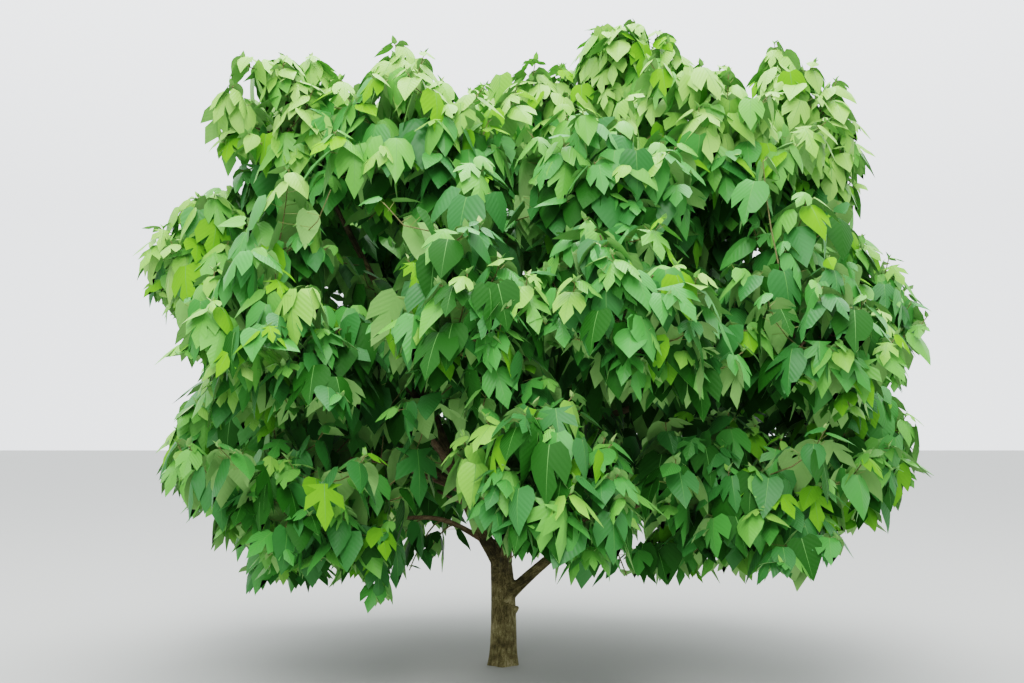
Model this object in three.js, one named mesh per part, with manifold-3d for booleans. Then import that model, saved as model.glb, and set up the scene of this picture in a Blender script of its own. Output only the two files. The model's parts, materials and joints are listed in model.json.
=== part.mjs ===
// Paper mulberry tree in full leaf: a short trunk, spreading boughs and a wide, many-lobed crown.
// Millimetres, +Z up. The origin is the middle of the flat cut under the trunk, at ground level.
import * as THREE from 'three';
import { mergeVertices } from 'three/addons/utils/BufferGeometryUtils.js';
import Module from 'manifold-3d';

const wasm = await Module();
wasm.setup();

// Trunk
const FORK_HEIGHT = 620;
const TRUNK_RADIUS = 72;
const FORK_RADIUS = 56;
const TRUNK_TOP_SHARE = 0.5;
const TRUNK_LEAN = [-14, 10];
const ROOT_FLARE = 0.2;
const ROOT_FLARE_HEIGHT = 90;
const ROOT_RIDGES = 5;
const RIDGE_DEPTH = 0.09;
const BELOW_CUT = 30;

// Limbs: how fast they taper, and how deep in its mass each may end, as shares of the way to the space's edge
const TAPER = 0.8;
const ENTRY_SHARES = [0.8, 0.7, 0.6, 0.5, 0.4, 0.3, 0.2];

// Stems, shoots and whorls of leaves
const STEM_SPREAD = 2;
const STEM_TIP_RADIUS = 15;
const STEM_PAST_MIDDLE = 0.4;
const STEM_LEAD = 0.35;
const SHOOT_RADIUS = 7;
const SHOOT_TIP_RADIUS = 6;
const FIRST_SHOOT_PLACE = 0.25;
const LAST_SHOOT_PLACE = 0.96;
const FIRST_SHOOT_HEIGHT = 0.96;
const LAST_SHOOT_HEIGHT = -0.7;
const GOLDEN_ANGLE = Math.PI * (3 - Math.sqrt(5));
const SIDE_REACH = 0.56;
const TOP_REACH = 0.9;
const LEAVES_IN_WHORL = 5;
const LEAF_LENGTH = 330;
const LEAF_VARIATION = [0.85, 1.2];
const NOTCH_SHARE = 0.55;
const NOTCH_SAG = 0.06;
const WHORL_THICKNESS = 22;
const WHORL_SEAT = 26;
const DROOP_AT_TOP = 0.5;
const DROOP_AT_FOOT = 0.95;
const DROOP_VARIATION = 0.1;
const OUTWARD_DROOP = 0.3;

// Gaps between the pieces
const CLEARANCE = 0.3;
const CELL_MARGIN = 3;
const LIMB_MARGIN = 4;
const ENTRY_MARGIN = 70;
const LIMB_POINT_STEP = 40;
const SHOOT_POINTS = 12;

// Faces round and along each kind of tube
const FACETS = { trunk: [15, 7], limb: [7, 6], bough: [5, 5], stem: [4, 2], shoot: [3, 1] };

// What is tried in turn until a whorl fits: a share of its size, the side its seat is on and a further droop
const WHORL_TRIES = [1, 0.88, 0.76, 0.64].flatMap((scale) => [
  [scale, 1, 0],
  [scale, -1, 0.12],
  [scale, 1, 0.3],
]);

// What is tried in turn until a leaf or a shoot fits: shares of its length
const LEAF_SCALES = [1, 0.86, 0.72, 0.58];
const SHOOT_SCALES = [1, 0.88, 0.76, 0.64];

// The seed of the first mass
const FIRST_SEED = 101;

// How far out the shoots reach in turn, as shares of their full reach
const SHOOT_DEPTHS = [1, 1, 0.5];

// Masses of foliage: the middle and the three half widths of each one's space, and the most shoots in it
const MASSES = {
  peak: { at: [745, 150, 3345], size: [360, 430, 430], shoots: 14 },
  top_left: { at: [-1080, -250, 2870], size: [660, 620, 580], shoots: 18 },
  top_centre: { at: [-420, -500, 2810], size: [600, 580, 530], shoots: 18 },
  top_middle: { at: [190, 250, 3020], size: [540, 540, 500], shoots: 16 },
  upper_middle: { at: [540, -780, 2560], size: [470, 500, 450], shoots: 14 },
  top_right: { at: [1110, -300, 2850], size: [600, 620, 550], shoots: 16 },
  top_far_right: { at: [1700, 80, 2870], size: [410, 560, 720], shoots: 16 },
  left_shoulder: { at: [-1620, -120, 2200], size: [450, 560, 500], shoots: 16 },
  left_front: { at: [-1100, -1050, 1740], size: [600, 620, 580], shoots: 18 },
  left_skirt: { at: [-950, -800, 900], size: [560, 640, 510], shoots: 18 },
  centre_left: { at: [-150, -1430, 1800], size: [440, 480, 570], shoots: 16 },
  centre_right: { at: [560, -1430, 1850], size: [530, 560, 540], shoots: 16 },
  front_low: { at: [200, -1640, 1080], size: [470, 470, 500], shoots: 16 },
  right_front: { at: [1480, -850, 1760], size: [600, 640, 580], shoots: 16 },
  right_shoulder: { at: [2020, 150, 1930], size: [450, 600, 540], shoots: 16 },
  right_skirt: { at: [1160, -800, 960], size: [650, 620, 450], shoots: 18 },
  right_edge: { at: [1890, -230, 1280], size: [420, 500, 520], shoots: 14 },
  back_left: { at: [-1380, 820, 1640], size: [600, 640, 620], shoots: 16 },
  back_centre: { at: [50, 1520, 1820], size: [700, 600, 600], shoots: 18 },
  back_right: { at: [1330, 1080, 1700], size: [640, 620, 600], shoots: 16 },
  back_top_left: { at: [-780, 850, 2560], size: [660, 640, 520], shoots: 16 },
  back_top_right: { at: [800, 950, 2680], size: [640, 620, 500], shoots: 16 },
  back_low_left: { at: [-680, 1150, 1000], size: [620, 580, 450], shoots: 16 },
  back_low_right: { at: [640, 1150, 1020], size: [620, 580, 440], shoots: 16 },
  left_low: { at: [-1560, 50, 1150], size: [430, 520, 510], shoots: 14 },
};

// Limbs in the order they branch. Each leaves its parent at a share of the parent's length, passes the points
// in via and ends in its mass. The radii are those at its two ends.
const LIMBS = {
  limb_centre: {
    parent: 'trunk', leaves: 0.93, mass: 'peak', radii: [50, 19],
    via: [[60, 40, 1100], [345, 85, 2050]],
  },
  limb_left: {
    parent: 'trunk', leaves: 0.9, mass: 'top_left', radii: [42, 17],
    via: [[-150, -25, 800], [-600, -60, 1900]],
  },
  limb_right: {
    parent: 'trunk', leaves: 0.6, mass: 'right_skirt', radii: [36, 15],
    via: [[255, -25, 590], [640, -190, 900]],
  },
  limb_back: {
    parent: 'trunk', leaves: 0.84, mass: 'back_centre', radii: [40, 17],
    via: [[30, 220, 780], [40, 720, 1290]],
  },
  limb_front: {
    parent: 'trunk', leaves: 0.78, mass: 'front_low', radii: [27, 13],
    via: [[25, -250, 740], [80, -800, 1050]],
  },
  limb_upper_right: {
    parent: 'limb_centre', leaves: 0.14, mass: 'top_right', radii: [38, 16],
    via: [[260, -40, 1150], [720, -130, 1900]],
  },
  limb_back_left: {
    parent: 'limb_back', leaves: 0.12, mass: 'back_left', radii: [30, 15],
    via: [[-260, 330, 960]],
  },
  bough_left_skirt: {
    parent: 'limb_left', leaves: 0.07, mass: 'left_skirt', radii: [18, 11],
    via: [[-330, -120, 820]],
  },
  bough_left_front: {
    parent: 'limb_left', leaves: 0.25, mass: 'left_front', radii: [25, 14],
    via: [[-440, -330, 1330]],
  },
  bough_left_shoulder: {
    parent: 'limb_left', leaves: 0.45, mass: 'left_shoulder', radii: [21, 13],
    via: [[-860, -110, 1880]],
  },
  bough_back_top_left: {
    parent: 'limb_left', leaves: 0.36, mass: 'back_top_left', radii: [23, 14],
    via: [[-560, 260, 1900]],
  },
  bough_top_centre: {
    parent: 'limb_centre', leaves: 0.42, mass: 'top_centre', radii: [26, 14],
    via: [[60, -160, 2030]],
  },
  bough_top_middle: {
    parent: 'limb_centre', leaves: 0.36, mass: 'top_middle', radii: [22, 13],
    via: [[60, 170, 2020]],
  },
  bough_back_top_right: {
    parent: 'limb_centre', leaves: 0.5, mass: 'back_top_right', radii: [24, 14],
    via: [[430, 420, 2130]],
  },
  bough_centre_left: {
    parent: 'limb_centre', leaves: 0.17, mass: 'centre_left', radii: [24, 13],
    via: [[-40, -520, 1420]],
  },
  bough_centre_right: {
    parent: 'limb_upper_right', leaves: 0.16, mass: 'centre_right', radii: [24, 13],
    via: [[330, -560, 1420]],
  },
  bough_upper_middle: {
    parent: 'limb_upper_right', leaves: 0.45, mass: 'upper_middle', radii: [20, 12],
    via: [[560, -400, 2000]],
  },
  bough_right_front: {
    parent: 'limb_upper_right', leaves: 0.3, mass: 'right_front', radii: [24, 13],
    via: [[850, -380, 1500]],
  },
  bough_right_shoulder: {
    parent: 'limb_upper_right', leaves: 0.4, mass: 'right_shoulder', radii: [23, 13],
    via: [[1080, 30, 1640]],
  },
  bough_far_right: {
    parent: 'limb_upper_right', leaves: 0.62, mass: 'top_far_right', radii: [21, 12],
    via: [[1120, 20, 2350]],
  },
  bough_right_edge: {
    parent: 'limb_right', leaves: 0.45, mass: 'right_edge', radii: [20, 12],
    via: [[980, -120, 1010]],
  },
  bough_back_right: {
    parent: 'limb_back', leaves: 0.3, mass: 'back_right', radii: [26, 14],
    via: [[520, 560, 1240]],
  },
  bough_back_low_right: {
    parent: 'limb_back', leaves: 0.2, mass: 'back_low_right', radii: [19, 12],
    via: [[300, 600, 860]],
  },
  bough_back_low_left: {
    parent: 'limb_back_left', leaves: 0.2, mass: 'back_low_left', radii: [18, 11],
    via: [[-300, 600, 880]],
  },
  bough_left_low: {
    parent: 'limb_back_left', leaves: 0.34, mass: 'left_low', radii: [18, 11],
    via: [[-760, 300, 1130]],
  },
};

const BARK = { color: 0x6b5a49, roughness: 0.9, metalness: 0 };
const YOUNG_BARK = { color: 0x7a654f, roughness: 0.85, metalness: 0 };
const FOLIAGE = { color: 0x4e9340, roughness: 0.7, metalness: 0 };

const UP = new THREE.Vector3(0, 0, 1);
const { lerp } = THREE.MathUtils;
const vector = (p) => new THREE.Vector3(...p);

// The same run of numbers from 0 to 1 each time, for one seed
function seeded(seed) {
  const range = 2 ** 32;
  let state = seed;
  return () => {
    state = (Math.imul(state, 1664525) + 1013904223) >>> 0;
    return state / range;
  };
}

// A point on the straight stretches that a tube's axis is made of
function onAxis(curve, steps, share) {
  const step = Math.min(Math.floor(share * steps), steps - 1);
  const before = curve.getPointAt(step / steps);
  return before.lerp(curve.getPointAt((step + 1) / steps), share * steps - step);
}

// A closed tube along a curve. radiusAt gives its radius for a share of the length and an angle round it.
function tube(curve, [sides, steps], radiusAt) {
  const shape = new THREE.CylinderGeometry(1, 1, 1, sides, steps);
  const frames = curve.computeFrenetFrames(steps, false);
  const place = shape.getAttribute('position');
  const corner = new THREE.Vector3();
  for (let i = 0; i < place.count; i++) {
    corner.fromBufferAttribute(place, i);
    const step = Math.round((corner.y + 0.5) * steps);
    const share = step / steps;
    const isRim = Math.hypot(corner.x, corner.z) > 0.5;
    const angle = Math.atan2(corner.z, corner.x);
    const radius = isRim ? radiusAt(share, angle) : 0;
    const point = curve.getPointAt(share)
      .addScaledVector(frames.normals[step], radius * Math.cos(angle))
      .addScaledVector(frames.binormals[step], -radius * Math.sin(angle));
    place.setXYZ(i, point.x, point.y, point.z);
  }
  return shape;
}

// A whorl of leaves round a shoot's end, as one thin blade: a ball of one ring. The ring is the leaves' tips
// and the notches between them in turn, and the poles are the top and the underside of its middle.
function whorlBlade(middle, tips, notches) {
  const count = 2 * tips.length;
  const shape = new THREE.SphereGeometry(1, count, 2);
  const place = shape.getAttribute('position');
  for (let i = 0; i < place.count; i++) {
    const row = Math.floor(i / (count + 1));
    const j = (i % (count + 1)) % count;
    const ring = j % 2 === 0 ? tips[j / 2] : notches[(j - 1) / 2];
    const pole = middle.clone().addScaledVector(UP, (1 - row) * (WHORL_THICKNESS / 2));
    const point = row === 1 ? ring : pole;
    place.setXYZ(i, point.x, point.y, point.z);
  }
  return shape;
}

// A solid that can be joined and cut, from a closed geometry
function solidOf(geometry) {
  const bare = geometry.clone();
  bare.deleteAttribute('normal');
  bare.deleteAttribute('uv');
  const merged = mergeVertices(bare, 1e-3);
  return new wasm.Manifold(new wasm.Mesh({
    numProp: 3,
    vertProperties: merged.getAttribute('position').array,
    triVerts: new Uint32Array(merged.index.array),
  }));
}

// A geometry from a solid
function geometryOf(solid) {
  const { vertProperties, triVerts } = solid.getMesh();
  const geometry = new THREE.BufferGeometry();
  geometry.setAttribute('position', new THREE.BufferAttribute(vertProperties, 3));
  geometry.setIndex(new THREE.BufferAttribute(triVerts, 1));
  geometry.computeVertexNormals();
  return geometry;
}

// The largest body of a solid, which drops loose scraps and fills sealed hollows
function largestBody(solid) {
  return solid.decompose().reduce((a, b) => (a.volume() > b.volume() ? a : b));
}

// True where a solid is clear of all the others
const isApart = (solid, others) => others.every((other) => other.intersect(solid).isEmpty());

// How far out a point is in a mass, from 0 in the middle to 1 at the edge of its space
function reachIn(mass, point) {
  return Math.hypot(...point.clone().sub(vector(mass.at)).divide(vector(mass.size)).toArray());
}

// True where a point lies on a mass's side of the flat borders with all the other masses
function inCell(mass, point, margin) {
  const power = (m) => point.distanceToSquared(vector(m.at)) - m.size[0] * m.size[2];
  return Object.values(MASSES).every((other) => {
    if (other === mass) return true;
    const apart = vector(mass.at).distanceTo(vector(other.at));
    return (power(other) - power(mass)) / (2 * apart) > margin;
  });
}

const inSpace = (mass, point, margin) => reachIn(mass, point) < 1 && inCell(mass, point, margin);

// Where a limb that comes from a point ends: just inside the mass's space, on the side it comes from
function entryOf(mass, from) {
  const middle = vector(mass.at);
  const edge = middle.clone().lerp(from, 1 / reachIn(mass, from));
  const points = ENTRY_SHARES.map((share) => middle.clone().lerp(edge, share));
  return points.find((point) => inCell(mass, point, ENTRY_MARGIN)) ?? points[points.length - 1];
}

// The trunk's radius: round, with the ridges of its roots near the ground, and rounded off in the fork
function trunkRadius(share, angle) {
  const height = share * (FORK_HEIGHT + BELOW_CUT) - BELOW_CUT;
  const flare = Math.exp(-height / ROOT_FLARE_HEIGHT);
  const ridges = 1 + RIDGE_DEPTH * flare * Math.cos(ROOT_RIDGES * angle);
  const taper = share < 1 ? lerp(TRUNK_RADIUS, FORK_RADIUS, share ** 4) : FORK_RADIUS * TRUNK_TOP_SHARE;
  return taper * (1 + ROOT_FLARE * flare) * ridges;
}

// The trunk's axis, which starts below the cut that is made through it at the ground
const trunkAxis = new THREE.CatmullRomCurve3([
  vector([0, 0, -BELOW_CUT]),
  vector([3, 0, FORK_HEIGHT * 0.35]),
  vector([0, 2, FORK_HEIGHT * 0.65]),
  vector([...TRUNK_LEAN, FORK_HEIGHT]),
]);

// Every limb's axis, facets and radius
const axes = { trunk: { curve: trunkAxis, facets: FACETS.trunk, radiusAt: trunkRadius } };
for (const [name, { parent, leaves, via, mass, radii }] of Object.entries(LIMBS)) {
  const start = onAxis(axes[parent].curve, axes[parent].facets[1], leaves);
  const end = entryOf(MASSES[mass], vector(via[via.length - 1]));
  axes[name] = {
    curve: new THREE.CatmullRomCurve3([start, ...via.map(vector), end]),
    facets: name.startsWith('bough') ? FACETS.bough : FACETS.limb,
    radiusAt: (share) => lerp(radii[0], radii[1], share ** TAPER),
  };
}

// A limb's solid, grown all round by an amount
function limbSolid(name, grown) {
  const { curve, facets, radiusAt } = axes[name];
  return solidOf(tube(curve, facets, (share, angle) => radiusAt(share, angle) + grown));
}

// Each limb in turn, cut clear of those before it, with the trunk cut flat at the ground
const limbSolids = {};
const grownSolids = [];
for (const name of Object.keys(axes)) {
  const cut = grownSolids.reduce((solid, earlier) => solid.subtract(earlier), limbSolid(name, 0));
  limbSolids[name] = largestBody(cut.trimByPlane([0, 0, 1], 0));
  grownSolids.push(limbSolid(name, CLEARANCE));
}

// Points along every limb, close enough together to test what comes near, each with the distance to keep off
const limbPoints = Object.values(axes).flatMap(({ curve, facets, radiusAt }) => {
  const count = Math.ceil(curve.getLength() / LIMB_POINT_STEP);
  return Array.from({ length: count + 1 }, (_, i) => ({
    point: onAxis(curve, facets[1], i / count),
    keepOff: Math.hypot(radiusAt(i / count, 0) + LIMB_MARGIN, LIMB_POINT_STEP / 2),
  }));
});

// True where every corner of a blade is in the mass's space and every face of it is clear of the limbs
function bladeFits(mass, shape) {
  const place = shape.getAttribute('position');
  const cornerAt = (i) => new THREE.Vector3().fromBufferAttribute(place, i);
  const corners = Array.from({ length: place.count }, (_, i) => cornerAt(i));
  if (!corners.every((corner) => inSpace(mass, corner, CELL_MARGIN))) return false;
  shape.computeBoundingSphere();
  const { center, radius } = shape.boundingSphere;
  const near = limbPoints.filter(({ point, keepOff }) => point.distanceTo(center) < radius + keepOff);
  const face = new THREE.Triangle();
  const nearest = new THREE.Vector3();
  for (let i = 0; i < shape.index.count; i += 3) {
    face.set(...[0, 1, 2].map((k) => corners[shape.index.getX(i + k)]));
    const distanceTo = (point) => face.closestPointToPoint(point, nearest).distanceTo(point);
    if (near.some(({ point, keepOff }) => distanceTo(point) < keepOff)) return false;
  }
  return true;
}

// True where a shoot keeps to its mass's space and off the limbs
function shootFits(mass, curve) {
  return curve.getSpacedPoints(SHOOT_POINTS).every((point) => {
    const isClear = limbPoints.every((limb) => limb.point.distanceTo(point) > limb.keepOff + SHOOT_RADIUS);
    return isClear && inSpace(mass, point, CELL_MARGIN + SHOOT_RADIUS);
  });
}

// The ways of a mass's shoots, wound evenly round it from its top down
function shootDirection(i, count, turn) {
  const height = lerp(FIRST_SHOOT_HEIGHT, LAST_SHOOT_HEIGHT, i / (count - 1));
  const round = Math.sqrt(1 - height * height);
  const angle = i * GOLDEN_ANGLE + turn;
  return new THREE.Vector3(round * Math.cos(angle), round * Math.sin(angle), height);
}

// A shoot from a point on the stem: out further at the top than below, where its leaves hang down
function shootAxis(mass, from, direction, depth) {
  const reach = lerp(SIDE_REACH, TOP_REACH, Math.max(direction.z, 0) ** 2) * depth;
  const end = vector(mass.at).add(direction.clone().multiply(vector(mass.size)).multiplyScalar(reach));
  return new THREE.LineCurve3(from, end);
}

// A point at an angle round a middle, a length away and hanging down from it by an angle
function hung(middle, angle, length, droop) {
  const flat = new THREE.Vector3(Math.cos(angle), Math.sin(angle), 0);
  const across = middle.clone().addScaledVector(flat, length * Math.cos(droop));
  return across.addScaledVector(UP, -length * Math.sin(droop));
}

// The whorl on a shoot's end. Its leaves hang more on the side that the shoot leans to, and one that would
// leave the mass's space is shorter or left out. The seat is where the shoot's end is sunk in it.
function whorlOn(mass, end, direction, lengths, droop, side, scale) {
  const outward = Math.atan2(direction.y, direction.x);
  const lean = OUTWARD_DROOP * (1 - Math.abs(direction.z));
  const half = Math.PI / LEAVES_IN_WHORL;
  const sagAt = (angle) => droop + lean * Math.cos(angle - outward);
  const middle = hung(end, outward, WHORL_SEAT, lean - droop);
  const notchLength = LEAF_LENGTH * scale * NOTCH_SHARE;
  const angles = lengths.map((_, i) => outward + Math.PI + (side * half) / 2 + 2 * half * i);
  const tips = angles.map((angle, i) => {
    const points = LEAF_SCALES.map((share) => hung(middle, angle, lengths[i] * scale * share, sagAt(angle)));
    const leftOut = hung(middle, angle, notchLength, sagAt(angle));
    return points.find((point) => inSpace(mass, point, CELL_MARGIN)) ?? leftOut;
  });
  const notches = angles.map((angle) => {
    const between = angle + half;
    return hung(middle, between, notchLength, sagAt(between) + NOTCH_SAG);
  });
  return whorlBlade(middle, tips, notches);
}

// The first shoot and whorl, of those tried in turn, that keep to their space and off all that is there
function growWhorl(mass, stem, whorls, from, direction, depth, random) {
  const height = (direction.z + 1) / 2;
  const variation = lerp(-DROOP_VARIATION, DROOP_VARIATION, random());
  const droop = lerp(DROOP_AT_FOOT, DROOP_AT_TOP, height) + variation;
  const leafLength = () => LEAF_LENGTH * lerp(...LEAF_VARIATION, random());
  const lengths = Array.from({ length: LEAVES_IN_WHORL }, leafLength);
  for (const reach of SHOOT_SCALES) {
    const curve = shootAxis(mass, from, direction, reach * depth);
    if (!shootFits(mass, curve)) continue;
    const radiusAt = (share) => lerp(SHOOT_RADIUS, SHOOT_TIP_RADIUS, share);
    const shoot = solidOf(tube(curve, FACETS.shoot, radiusAt));
    if (!isApart(shoot, whorls.map((one) => one.blade))) continue;
    for (const [scale, side, sag] of WHORL_TRIES) {
      const shape = whorlOn(mass, curve.v2, direction, lengths, droop + sag, side, scale);
      if (!bladeFits(mass, shape)) continue;
      const blade = solidOf(shape);
      if (isApart(blade, [stem, ...whorls.flatMap((one) => [one.shoot, one.blade])])) return { shoot, blade };
    }
  }
  return null;
}

// A mass of foliage: a stem from its limb's tip to the middle of its space and a little past it, and the
// shoots that branch from it, those that point back first along the stem and those that point forward last
function massSolid(name, seed) {
  const mass = MASSES[name];
  const random = seeded(seed);
  const [limbName, { radii }] = Object.entries(LIMBS).find(([, limb]) => limb.mass === name);
  const heading = axes[limbName].curve.getTangentAt(1);
  const start = axes[limbName].curve.getPointAt(1).addScaledVector(heading, CLEARANCE);
  const middle = vector(mass.at);
  const past = middle.clone().lerp(start, -STEM_PAST_MIDDLE);
  const lead = start.clone().addScaledVector(heading, start.distanceTo(middle) * STEM_LEAD);
  const curve = new THREE.CubicBezierCurve3(start, lead, middle, past);
  const radiusAt = (share) => lerp(radii[1] + STEM_SPREAD, STEM_TIP_RADIUS, share);
  const stem = solidOf(tube(curve, FACETS.stem, radiusAt));

  const turn = random() * 2 * Math.PI;
  const directions = Array.from({ length: mass.shoots }, (_, i) => shootDirection(i, mass.shoots, turn));
  const backToFront = [...directions].sort((a, b) => a.dot(heading) - b.dot(heading));
  const whorls = [];
  directions.forEach((direction, i) => {
    const order = backToFront.indexOf(direction) / (mass.shoots - 1);
    const from = onAxis(curve, FACETS.stem[1], lerp(FIRST_SHOOT_PLACE, LAST_SHOOT_PLACE, order));
    const depth = SHOOT_DEPTHS[i % SHOOT_DEPTHS.length];
    const grown = growWhorl(mass, stem, whorls, from, direction, depth, random);
    if (grown) whorls.push(grown);
  });
  const pieces = whorls.flatMap((one) => [one.shoot, one.blade]);
  return largestBody(wasm.Manifold.union([stem, ...pieces]));
}

const tree = new THREE.Group();

function addNode(name, solid, look) {
  const mesh = new THREE.Mesh(geometryOf(solid), new THREE.MeshStandardMaterial(look));
  mesh.name = name;
  tree.add(mesh);
}

for (const [name, solid] of Object.entries(limbSolids)) {
  addNode(name, solid, name.startsWith('bough') ? YOUNG_BARK : BARK);
}
Object.keys(MASSES).forEach((name, i) => addNode(`leaves_${name}`, massSolid(name, FIRST_SEED + i), FOLIAGE));

export default tree;
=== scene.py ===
"""Paper mulberry tree in full leaf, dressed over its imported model.

The trunk and boughs are skins of bark. Each mass of foliage grows on from its bough's tip by the model's own
rule, carried to finer twigs: a stem, shoots, twigs and whorls of drooping lobed leaves. Metres, +Z up.
"""

import json
import logging
import math
import random
from dataclasses import dataclass, field
from enum import Enum
from typing import Any, Callable, Iterable, Sequence

import bmesh
import bpy
import numpy as np
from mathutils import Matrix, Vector, kdtree, noise

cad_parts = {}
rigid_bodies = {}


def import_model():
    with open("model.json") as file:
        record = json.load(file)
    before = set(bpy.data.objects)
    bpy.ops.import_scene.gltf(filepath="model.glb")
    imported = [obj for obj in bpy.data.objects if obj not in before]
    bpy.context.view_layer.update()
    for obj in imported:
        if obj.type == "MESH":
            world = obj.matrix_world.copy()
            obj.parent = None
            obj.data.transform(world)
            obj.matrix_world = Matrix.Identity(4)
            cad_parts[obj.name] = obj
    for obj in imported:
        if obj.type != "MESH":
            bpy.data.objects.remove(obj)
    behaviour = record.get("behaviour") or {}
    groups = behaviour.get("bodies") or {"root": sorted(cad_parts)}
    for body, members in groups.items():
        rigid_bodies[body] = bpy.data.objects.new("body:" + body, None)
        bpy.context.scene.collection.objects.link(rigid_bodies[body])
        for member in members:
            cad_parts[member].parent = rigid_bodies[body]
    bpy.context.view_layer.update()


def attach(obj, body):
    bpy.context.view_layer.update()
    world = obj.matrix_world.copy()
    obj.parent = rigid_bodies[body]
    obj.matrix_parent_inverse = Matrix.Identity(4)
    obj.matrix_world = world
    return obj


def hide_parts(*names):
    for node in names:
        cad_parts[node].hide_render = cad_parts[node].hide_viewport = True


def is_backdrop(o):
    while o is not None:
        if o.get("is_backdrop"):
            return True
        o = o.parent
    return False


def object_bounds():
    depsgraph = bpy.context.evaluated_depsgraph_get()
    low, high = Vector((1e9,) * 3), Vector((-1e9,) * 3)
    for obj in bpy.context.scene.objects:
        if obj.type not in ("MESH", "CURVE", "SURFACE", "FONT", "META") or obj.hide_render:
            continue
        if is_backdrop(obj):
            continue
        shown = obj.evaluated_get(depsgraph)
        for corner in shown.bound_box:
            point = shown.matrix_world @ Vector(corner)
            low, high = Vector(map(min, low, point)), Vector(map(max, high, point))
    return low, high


log = logging.getLogger("paper_mulberry")

Triple = tuple[float, float, float]

GOLDEN_ANGLE = math.pi * (3 - math.sqrt(5))
UP = np.array([0.0, 0.0, 1.0])


def lerp(a: float, b: float, share: float) -> float:
    """The value a share of the way from a to b."""
    return a + (b - a) * share


def unit(vector: np.ndarray) -> np.ndarray:
    """The vector at length one."""
    return vector / np.linalg.norm(vector)


def level_way(angle: float) -> np.ndarray:
    """The level way at an angle from +X."""
    return np.array([math.cos(angle), math.sin(angle), 0.0])


def tree_of(points: Sequence[np.ndarray]) -> kdtree.KDTree:
    """The points as a search tree."""
    tree = kdtree.KDTree(len(points))
    for i, point in enumerate(points):
        tree.insert(point, i)
    tree.balance()
    return tree


def seeded(seed: int) -> Callable[[], float]:
    """The same run of numbers from 0 to 1 each time, as the model's rule draws them.

    Args:
        seed: Where the run starts.

    Returns:
        A function that gives the next number.
    """
    state = seed

    def following() -> float:
        """The next number of the run."""
        nonlocal state
        state = (state * 1664525 + 1013904223) % 2**32
        return state / 2**32

    return following


class Line:
    """A smooth line in space, read by shares of its length."""

    PARTS = 40

    def __init__(self, points: np.ndarray) -> None:
        """Keeps a fine run of points and how far along it each one is."""
        self.points = points
        steps = np.linalg.norm(np.diff(points, axis=0), axis=1)
        self.along = np.concatenate([[0.0], np.cumsum(steps)])
        self.length = float(self.along[-1])

    @classmethod
    def through(cls, knots: Iterable[Iterable[float]]) -> "Line":
        """A line that passes smoothly through all the knots.

        Args:
            knots: The points, from the line's start to its end.

        Returns:
            The line, a centripetal Catmull-Rom curve.
        """
        held = [np.asarray(knot, float) for knot in knots]
        held = [2 * held[0] - held[1], *held, 2 * held[-1] - held[-2]]
        shares = np.linspace(0, 1, cls.PARTS, endpoint=False)[:, None]
        runs = []
        for before, start, end, after in zip(held, held[1:], held[2:], held[3:]):
            pairs = ((before, start), (start, end), (end, after))
            p, q, r = (np.sqrt(np.linalg.norm(b - a)) for a, b in pairs)
            leaving = (start - before) / p - (end - before) / (p + q) + (end - start) / q
            arriving = (end - start) / q - (after - start) / (q + r) + (after - end) / r
            leaving, arriving = leaving * q, arriving * q
            square = -3 * start + 3 * end - 2 * leaving - arriving
            cube = 2 * start - 2 * end + leaving + arriving
            runs.append(start + leaving * shares + square * shares**2 + cube * shares**3)
        return cls(np.vstack([*runs, held[-2][None]]))

    @classmethod
    def bent(cls, start: np.ndarray, lead: np.ndarray, middle: np.ndarray, end: np.ndarray) -> "Line":
        """A cubic Bezier curve from start to end, drawn towards its two middle points."""
        t = np.linspace(0, 1, 3 * cls.PARTS)[:, None]
        s = 1 - t
        return cls(s**3 * start + 3 * s * s * t * lead + 3 * s * t * t * middle + t**3 * end)

    def at(self, share: float | np.ndarray) -> np.ndarray:
        """The point or points at a share of the length."""
        place = np.asarray(share) * self.length
        return np.stack([np.interp(place, self.along, self.points[:, k]) for k in range(3)], axis=-1)

    def heading(self, share: float) -> np.ndarray:
        """The way that the line runs at a share of its length."""
        return unit(self.at(min(share + 0.01, 1)) - self.at(max(share - 0.01, 0)))

    def on_straights(self, steps: int, share: float) -> np.ndarray:
        """The point at a share of the straight stretches that the model's own tube has for the curve."""
        step = min(int(share * steps), steps - 1)
        before, after = self.at(step / steps), self.at((step + 1) / steps)
        return before + (after - before) * (share * steps - step)


class Region(Enum):
    """The parts of the crown whose leaves are one piece each."""

    TOP_LEFT = "foliage_top_left"
    TOP_RIGHT = "foliage_top_right"
    LEFT = "foliage_left"
    FRONT = "foliage_front"
    RIGHT = "foliage_right"
    BACK = "foliage_back"
    BACK_LOW = "foliage_back_low"
    BACK_TOP = "foliage_back_top"


@dataclass(frozen=True)
class Mass:
    """A mass of foliage: the middle and half widths of its space, and the most shoots in it."""

    at: Triple
    size: Triple
    shoots: int
    region: Region

    def reach(self, point: np.ndarray) -> float:
        """How far out a point is, from 0 in the middle to 1 at the edge of the space."""
        return float(np.linalg.norm((point - np.array(self.at)) / np.array(self.size)))


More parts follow.
